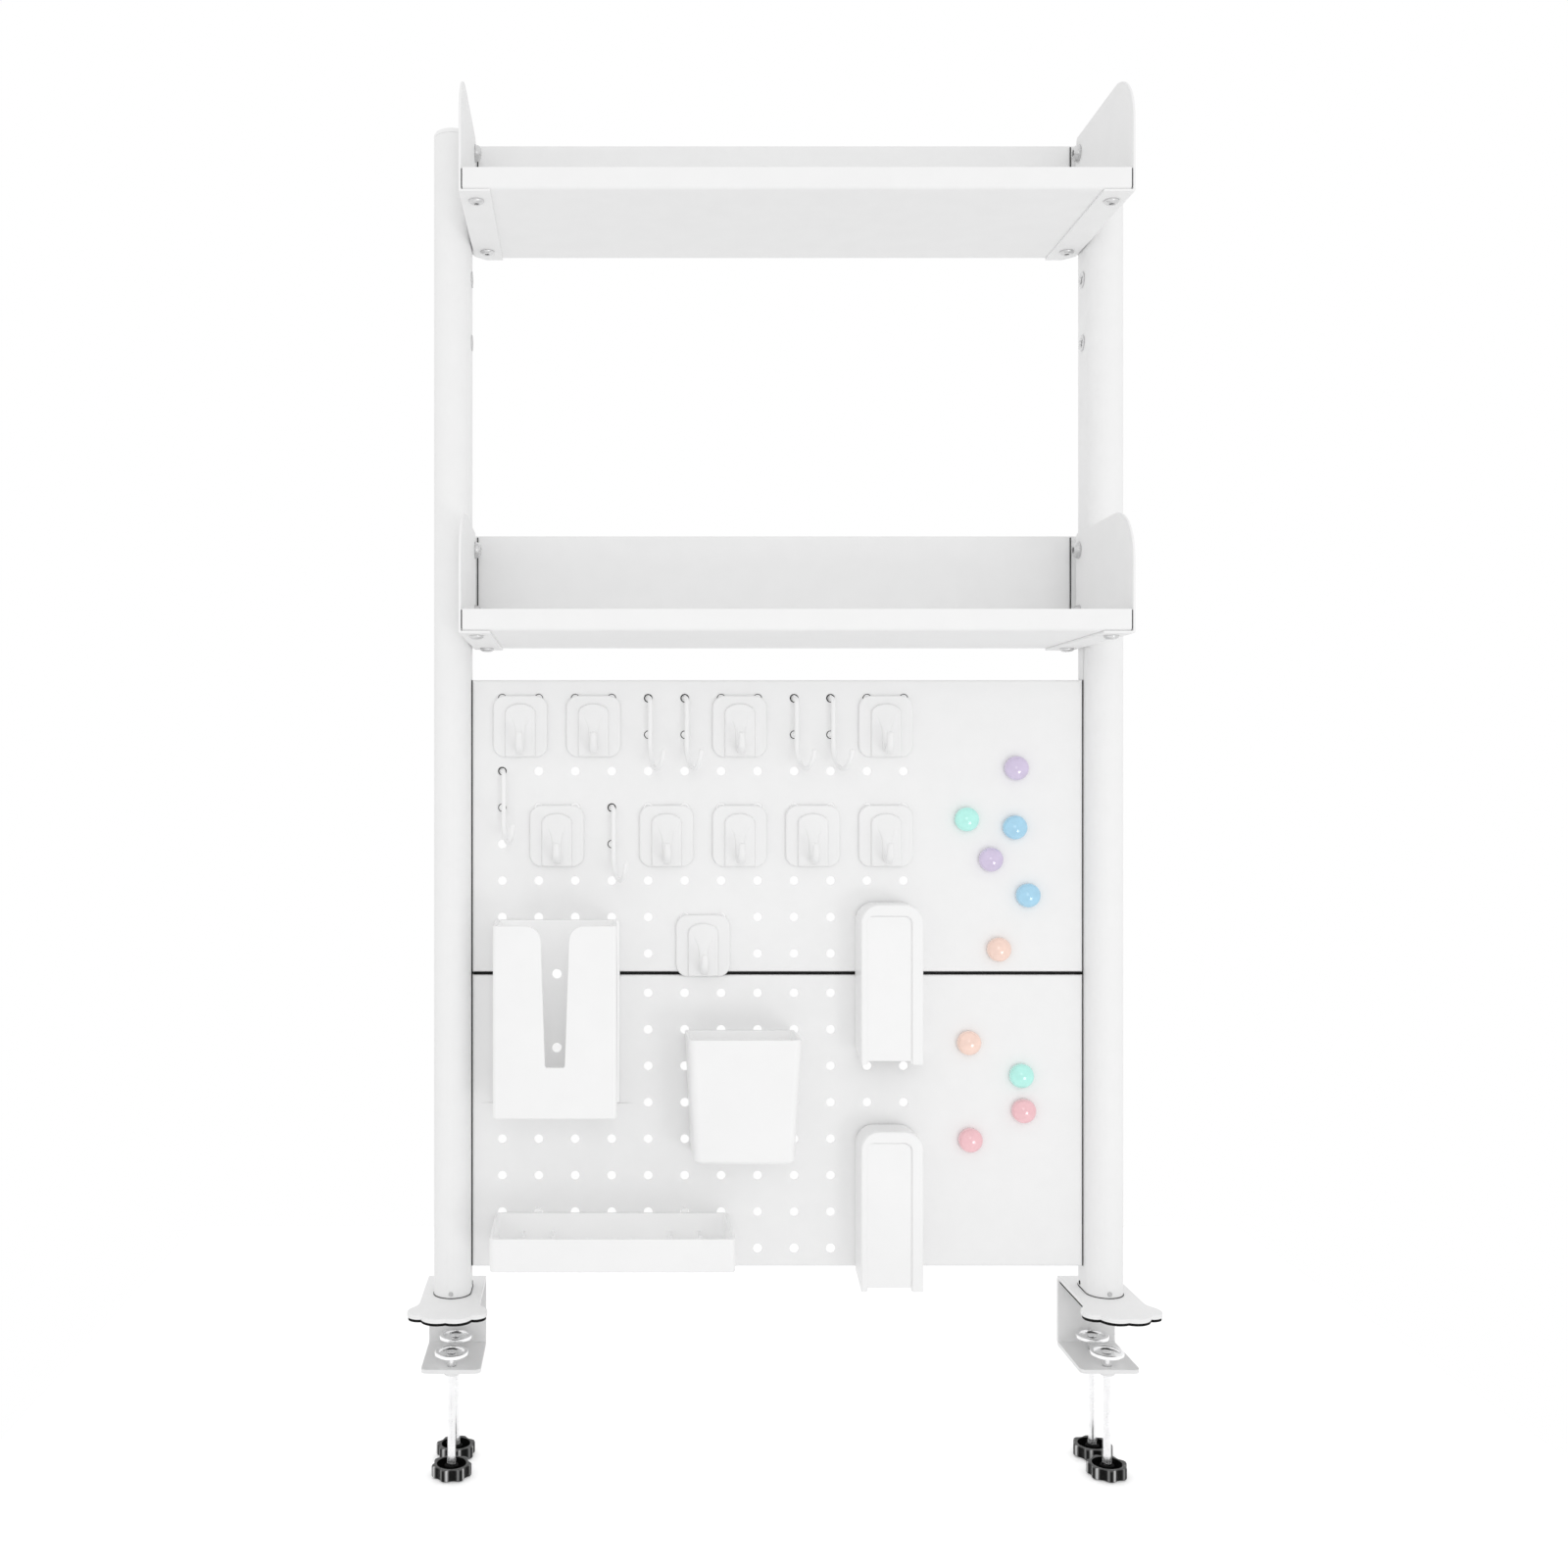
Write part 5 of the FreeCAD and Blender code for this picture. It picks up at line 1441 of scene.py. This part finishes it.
def sweep_sections(bm, sections):
    """Skin closed rings of points and close both ends."""
    rings = [[bm.verts.new(p) for p in ring] for ring in sections]
    for low, high in zip(rings, rings[1:]):
        bridge(bm, low, high)
    for ring in (rings[0], rings[-1]):
        middle = sum((v.co for v in ring), Vector()) / len(ring)
        pole = bm.verts.new(middle)
        for i, vert in enumerate(ring):
            bm.faces.new((vert, ring[(i + 1) % len(ring)], pole))


def plate_ring(width, height, corner):
    """Return the outline of a rounded plate round its middle, as (x, z) points."""
    steps = 6
    points = []
    for k, (sx, sz) in enumerate(((1, 1), (-1, 1), (-1, -1), (1, -1))):
        cx = sx * (width / 2 - corner)
        cz = sz * (height / 2 - corner)
        for i in range(steps + 1):
            angle = math.pi / 2 * (k + i / steps)
            points.append((cx + corner * math.cos(angle), cz + corner * math.sin(angle)))
    return points


def hook_plate(bm):
    """Add a square hook's back plate: rounded corners, softly rolled front edge."""
    width, height, corner, thick = 37.0, 42.0, 8.0, 3.0
    layers = [(0.3, 0.0), (0.0, 0.3), (0.0, thick - 1.0), (0.15, thick - 0.55)]
    layers += [(0.45, thick - 0.2), (1.0, thick)]
    sections = []
    for inset, out in layers:
        ring = plate_ring(width - 2 * inset, height - 2 * inset, corner - inset)
        sections.append([Vector((x, -out, z)) * MM for x, z in ring])
    sweep_sections(bm, sections)


def arch_ring(half, crown, foot, shoulder):
    """Return an arch's outline as (x, z) points: up the right side, over, down the left side."""
    steps = 14
    points = [(half, foot)]
    for i in range(steps + 1):
        angle = math.pi * i / steps
        points.append((half * math.cos(angle), crown - shoulder + shoulder * math.sin(angle)))
    points.append((-half, foot))
    return points


def hook_boss(bm):
    """Add the raised arch on a square hook's plate."""
    half, crown, foot, shoulder, rise, face = 10.25, 15.4, -20.6, 6.5, 2.2, 3.0
    layers = [(-0.45, -0.3), (-0.35, 0.1), (0.0, 0.5), (0.1, rise - 0.7), (0.35, rise - 0.2)]
    layers.append((0.9, rise))
    sections = []
    for inset, out in layers:
        ring = arch_ring(half - inset, crown - inset, foot + max(inset, 0.0), shoulder - inset)
        sections.append([Vector((x, -face - out, z)) * MM for x, z in ring])
    sweep_sections(bm, sections)


def prong_path():
    """Return stations of a hook's prong: (y, z, tilt, width, thickness), millimetres from the plate."""
    face, reach_r, top, root, end, tip = 5.2, 7.0, 12.0, -5.5, -9.8, -4.0
    funnel, bend, rise, cap = 8, 14, 3, 1.6
    stations = []
    for share in [i / funnel for i in range(funnel + 1)]:
        width = 19.4 - 13.0 * math.sin(share * math.pi / 2) ** 1.2
        out = -(face - 0.6 + 0.45 * share)
        stations.append((out, top + (root - top) * share, 0.0, width, 0.9 + 2.9 * share))
    centre_y = -(face - 0.15) - reach_r
    for share in [i / bend for i in range(1, bend + 1)]:
        turn = math.pi * share
        y = centre_y + reach_r * math.cos(turn)
        z = end - reach_r * math.sin(turn)
        stations.append((y, z, turn, 6.0 - 1.4 * share, 3.8 - 0.2 * share))
    low_z = stations[-1][1]
    for share in [i / rise for i in range(1, rise + 1)]:
        z = low_z + (tip - cap - low_z) * share
        stations.append((centre_y - reach_r, z, math.pi, 4.6 - 0.4 * share, 3.6 - 0.2 * share))
    for lift, size in ((0.7, 0.93), (1.2, 0.74), (1.5, 0.45), (cap, 0.2)):
        stations.append((centre_y - reach_r, tip - cap + lift, math.pi, 4.2 * size, 3.4 * size))
    return stations


def hook_prong(bm):
    """Add the funnel-shaped prong that leaves the arch, curls out and ends in a round tip."""
    sides, squareness = 20, 0.8
    turns = [2 * math.pi * i / sides for i in range(sides)]
    sections = []
    for y, z, turn, width, thick in prong_path():
        ring = []
        for angle in turns:
            across, up = math.cos(angle), math.sin(angle)
            side = math.copysign(abs(across) ** squareness, across) * width / 2
            out = math.copysign(abs(up) ** squareness, up) * thick / 2
            ring.append(Vector((side, y + out * math.cos(turn), z - out * math.sin(turn))) * MM)
        sections.append(ring)
    sweep_sections(bm, sections)


def hook_pegs(bm):
    """Add a square hook's four pegs."""
    outline = [(0, -0.2), (2.45, -0.2), (2.45, 4.2), (2.3, 4.6), (1.85, HOOK_PEG), (0, HOOK_PEG)]
    for x in (-HOOK_PEG_X, HOOK_PEG_X):
        for z in HOOK_PEG_Z:
            rings = []
            for radius, out in outline:
                points = circle(radius, 20) if radius else [(0, 0)]
                rings.append([bm.verts.new(Vector((x + a, out, z + b)) * MM) for a, b in points])
            for low, high in zip(rings, rings[1:]):
                bridge(bm, low, high)


def hook_mesh(name):
    """Return a square hook round the middle of its plate's back."""
    bm = bmesh.new()
    hook_plate(bm)
    hook_boss(bm)
    hook_prong(bm)
    hook_pegs(bm)
    bmesh.ops.recalc_face_normals(bm, faces=bm.faces)
    return mesh_from(bm, name)


class ORGANIZER_OT_square_hooks(bpy.types.Operator):
    """Make the ten square hooks"""

    bl_idname = "organizer.square_hooks"
    bl_label = "Square hooks"

    def execute(self, context):
        top_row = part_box("upper_pegboard")[1].z - 15.0 * MM
        for i in range(1, HOOK_COUNT + 1):
            node = f"square_hook_{i:02d}"
            low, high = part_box(node)
            middle = (low + high) / 2
            at = Vector((middle.x, high.y - HOOK_PEG * MM, low.z + HOOK_HALF_HEIGHT * MM))
            piece = add_object(f"{node}_finish", hook_mesh(node))
            piece.data.transform(Matrix.Translation(at))
            painted(shaded(piece, 45), finish("hook_plastic"))
            attached(piece, f"hook_{i:02d}", "hook_plastic", node)
            if high.z >= top_row:
                # Painted shade: black rings in the mouths of the holes that the top pegs enter.
                for name, side in SIDES.items():
                    mouth = at + Vector((side * HOOK_PEG_X, 1.0, HOOK_PEG_Z[0])) * MM
                    hole_shade_ring(f"{node}_{name}_ring", f"hook_{i:02d}", 2.5, 2.92, 0.9, mouth)
        return {"FINISHED"}


def wire_path(radius):
    """Return a wire hook's path in its own plane: points (y, height) and the wire's swelling."""
    bend, back, lock, reach, drop = 3.2, 5.0, 8.0, 33.0, 50.2
    thinnest, steps = 0.12, 6
    quarter = [math.pi / 2 * i / steps for i in range(steps + 1)]
    last = math.pi / 2 + math.radians(72.0)
    lock_y = 1.2 + back
    stem_y = -WIRE_STAND
    arc = reach / 2
    centre = radius - drop + arc
    points = []
    for angle in quarter[:-1]:
        points.append((lock_y, lock + radius * math.cos(angle), max(thinnest, math.sin(angle))))
    for angle in quarter:
        points.append((lock_y - bend + bend * math.cos(angle), bend - bend * math.sin(angle), 1.0))
    for angle in quarter:
        points.append((stem_y + bend - bend * math.sin(angle), bend * math.cos(angle) - bend, 1.0))
    for angle in [last * i / 28 for i in range(29)]:
        points.append((stem_y - arc + arc * math.cos(angle), centre - arc * math.sin(angle), 1.0))
    end_y, end_h, _ = points[-1]
    for angle in quarter[1:]:
        ahead = radius * math.sin(angle)
        tip = (end_y - ahead * math.sin(last), end_h - ahead * math.cos(last))
        points.append((*tip, max(thinnest, math.cos(angle))))
    return points


def wire_line(name, at):
    """Return a wire hook's path as a mesh line, turned a little, from its hole in the board's front."""
    shift = (WIRE_STAND + WIRE_SHIFT) * math.sin(WIRE_TURN)
    path = wire_path(sizes().wire_radius / MM)
    points = []
    for y, height, _ in path:
        away = y + WIRE_STAND
        turned = (shift - away * math.sin(WIRE_TURN), away * math.cos(WIRE_TURN) - WIRE_STAND, height)
        points.append(at + Vector(turned) * MM)
    mesh = bpy.data.meshes.new(name)
    mesh.from_pydata(points, [(i, i + 1) for i in range(len(points) - 1)], [])
    swell = mesh.attributes.new("swell", "FLOAT", "POINT")
    for i, (_, _, value) in enumerate(path):
        swell.data[i].value = value
    return mesh


def wire_plug(name):
    """Return a wire hook's plug for the next hole, with the neck that joins it to the stem."""
    outline = [(0, -1.0), (1.9, -1.0), (2.3, -0.6), (2.3, 0.4), (2.2, 0.65), (1.95, 0.8), (1.0, 0.8)]
    outline += [(1.0, WIRE_STAND), (0, WIRE_STAND)]
    return lathed(name, outline, sides=32)


def set_forward(piece, place):
    """Turn a piece's mesh from +Z to the front and set it at a place."""
    piece.data.transform(facing((0, -1, 0)).to_matrix().to_4x4())
    piece.data.transform(Matrix.Translation(place))
    return piece


def hole_shade_ring(name, body, inner, outer, thick, place):
    """Add a flat black ring of painted shade that lies in a peg hole's mouth and moves with a hook."""
    soft = 0.1
    outline = [(inner, 0), (outer - soft, 0), (outer, soft), (outer, thick - soft)]
    outline += [(outer - soft, thick), (inner, thick), (inner, 0)]
    ring = set_forward(add_object(name, lathed(name, outline, sides=40)), place)
    painted(shaded(ring, 40), finish("pad_rubber"))
    attached(ring, body, "pad_rubber")


class ORGANIZER_OT_wire_hooks(bpy.types.Operator):
    """Bend the six coated wire hooks"""

    bl_idname = "organizer.wire_hooks"
    bl_label = "Wire hooks"

    def execute(self, context):
        coat = finish("wire_coat")
        values = {"Radius": sizes().wire_radius, "Sides": 20, "Material": coat}
        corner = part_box("upper_pegboard")[0]
        pitch = sizes().peg_pitch
        below = Vector((0, 0, -pitch))
        into = Vector((0, 0.9 * MM, 0))
        for i, (column, row) in enumerate(WIRE_SPOTS, 1):
            node, body = f"wire_hook_{i}", f"wire_{i}"
            x = corner.x + FIRST_COLUMN * MM + (column - 1) * pitch
            at = Vector((x, corner.y, corner.z + FIRST_ROW * MM + (PEG_ROWS - row) * pitch))
            piece = run_tree(add_object(f"{node}_finish", wire_line(node, at)), "wire", values)
            painted(shaded(welded(piece), 60), coat)
            attached(piece, body, "wire_coat", node)
            plug = set_forward(add_object(f"{node}_plug", wire_plug(f"{node}_plug")), at + below)
            attached(painted(shaded(plug, 40), coat), body, "wire_coat")
            # Painted shade: black rings in the mouths of the wire's hole and the plug's hole.
            hole_shade_ring(f"{node}_grommet", body, 2.15, 2.9, 0.7, at + into)
            hole_shade_ring(f"{node}_plug_ring", body, 2.32, 2.85, 0.7, at + into + below)
        return {"FINISHED"}


# ---------------------------------------------------------------- magnets


def dome_mesh(name):
    """Return a magnet's moulded dome standing on z = 0: round side, broad soft shoulder, flat crown."""
    radius, height, shoulder, cap = 8.25, 7.0, 3.4, 14.0
    meet = math.radians(24.0)
    drop = cap - cap * math.cos(meet)
    edge = height - drop - shoulder * math.cos(meet)
    inner = (cap - shoulder) * math.sin(meet)
    outline = [(0, 0), (radius - 0.3, 0), (radius, 0.3), (radius, 1.6)]
    for angle in [(math.pi / 2 - meet) * i / 8 for i in range(9)]:
        outline.append((inner + (radius - inner) * math.cos(angle), edge + shoulder * math.sin(angle)))
    for angle in [meet * (1 - i / 6) for i in range(1, 6)]:
        outline.append((cap * math.sin(angle), height - cap + cap * math.cos(angle)))
    outline.append((0, height))
    return lathed(name, outline)


class ORGANIZER_OT_magnets(bpy.types.Operator):
    """Set the pairs of coloured magnets on the boards"""

    bl_idname = "organizer.magnets"
    bl_label = "Magnets"

    def execute(self, context):
        low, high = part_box("lower_pegboard")
        outward = facing((0, -1, 0))
        for shade, places in MAGNET_PLACES.items():
            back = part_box(f"{shade}_magnets")[1].y
            spots = [((high.x - x * MM, back, low.z + z * MM), outward) for x, z in places]
            paint = finish(f"{shade}_plastic")
            piece = repeated(f"{shade}_domes", dome_mesh("dome"), spots, paint)
            painted(shaded(piece, 50), paint)
            attached(piece, f"{shade}_pair", f"{shade}_plastic", f"{shade}_magnets")
        return {"FINISHED"}


# ---------------------------------------------------------------- add-on


class ORGANIZER_PT_pieces(bpy.types.Panel):
    """List the organizer's pieces, sizes and colours"""

    bl_idname = "ORGANIZER_PT_pieces"
    bl_label = "Desk organizer"
    bl_space_type = "VIEW_3D"
    bl_region_type = "UI"
    bl_category = "Organizer"

    def draw(self, context):
        for operator in OPERATORS:
            self.layout.operator(operator.bl_idname)
        for group_name in GROUPS:
            group = getattr(context.scene, group_name)
            for name in group.bl_rna.properties.keys():
                if name not in ("rna_type", "name"):
                    self.layout.prop(group, name)


OPERATORS = (
    ORGANIZER_OT_stage,
    ORGANIZER_OT_posts,
    ORGANIZER_OT_clamps,
    ORGANIZER_OT_shelves,
    ORGANIZER_OT_clamp_screws,
    ORGANIZER_OT_fasteners,
    ORGANIZER_OT_pegboards,
    ORGANIZER_OT_seams,
    ORGANIZER_OT_boxes,
    ORGANIZER_OT_square_hooks,
    ORGANIZER_OT_wire_hooks,
    ORGANIZER_OT_magnets,
)
GROUPS = {
    "organizer_sizes": OrganizerSizes,
    "organizer_colours": OrganizerColours,
    "organizer_stage": OrganizerStage,
}


def register():
    """Register the classes and the scene's properties."""
    for group in GROUPS.values():
        bpy.utils.register_class(group)
    for name, group in GROUPS.items():
        setattr(bpy.types.Scene, name, bpy.props.PointerProperty(type=group))
    for item in OPERATORS + (ORGANIZER_PT_pieces,):
        bpy.utils.register_class(item)


def unregister():
    """Take the classes and properties away again."""
    for item in reversed(OPERATORS + (ORGANIZER_PT_pieces,)):
        bpy.utils.unregister_class(item)
    for name, group in GROUPS.items():
        delattr(bpy.types.Scene, name)
        bpy.utils.unregister_class(group)


def main():
    """Build every piece in order."""
    register()
    bpy.ops.organizer.stage()
    bpy.ops.organizer.posts()
    bpy.ops.organizer.clamps()
    bpy.ops.organizer.shelves()
    bpy.ops.organizer.clamp_screws()
    bpy.ops.organizer.fasteners()
    bpy.ops.organizer.pegboards()
    bpy.ops.organizer.seams()
    bpy.ops.organizer.boxes()
    bpy.ops.organizer.square_hooks()
    bpy.ops.organizer.wire_hooks()
    bpy.ops.organizer.magnets()


if __name__ == "__main__":
    main()
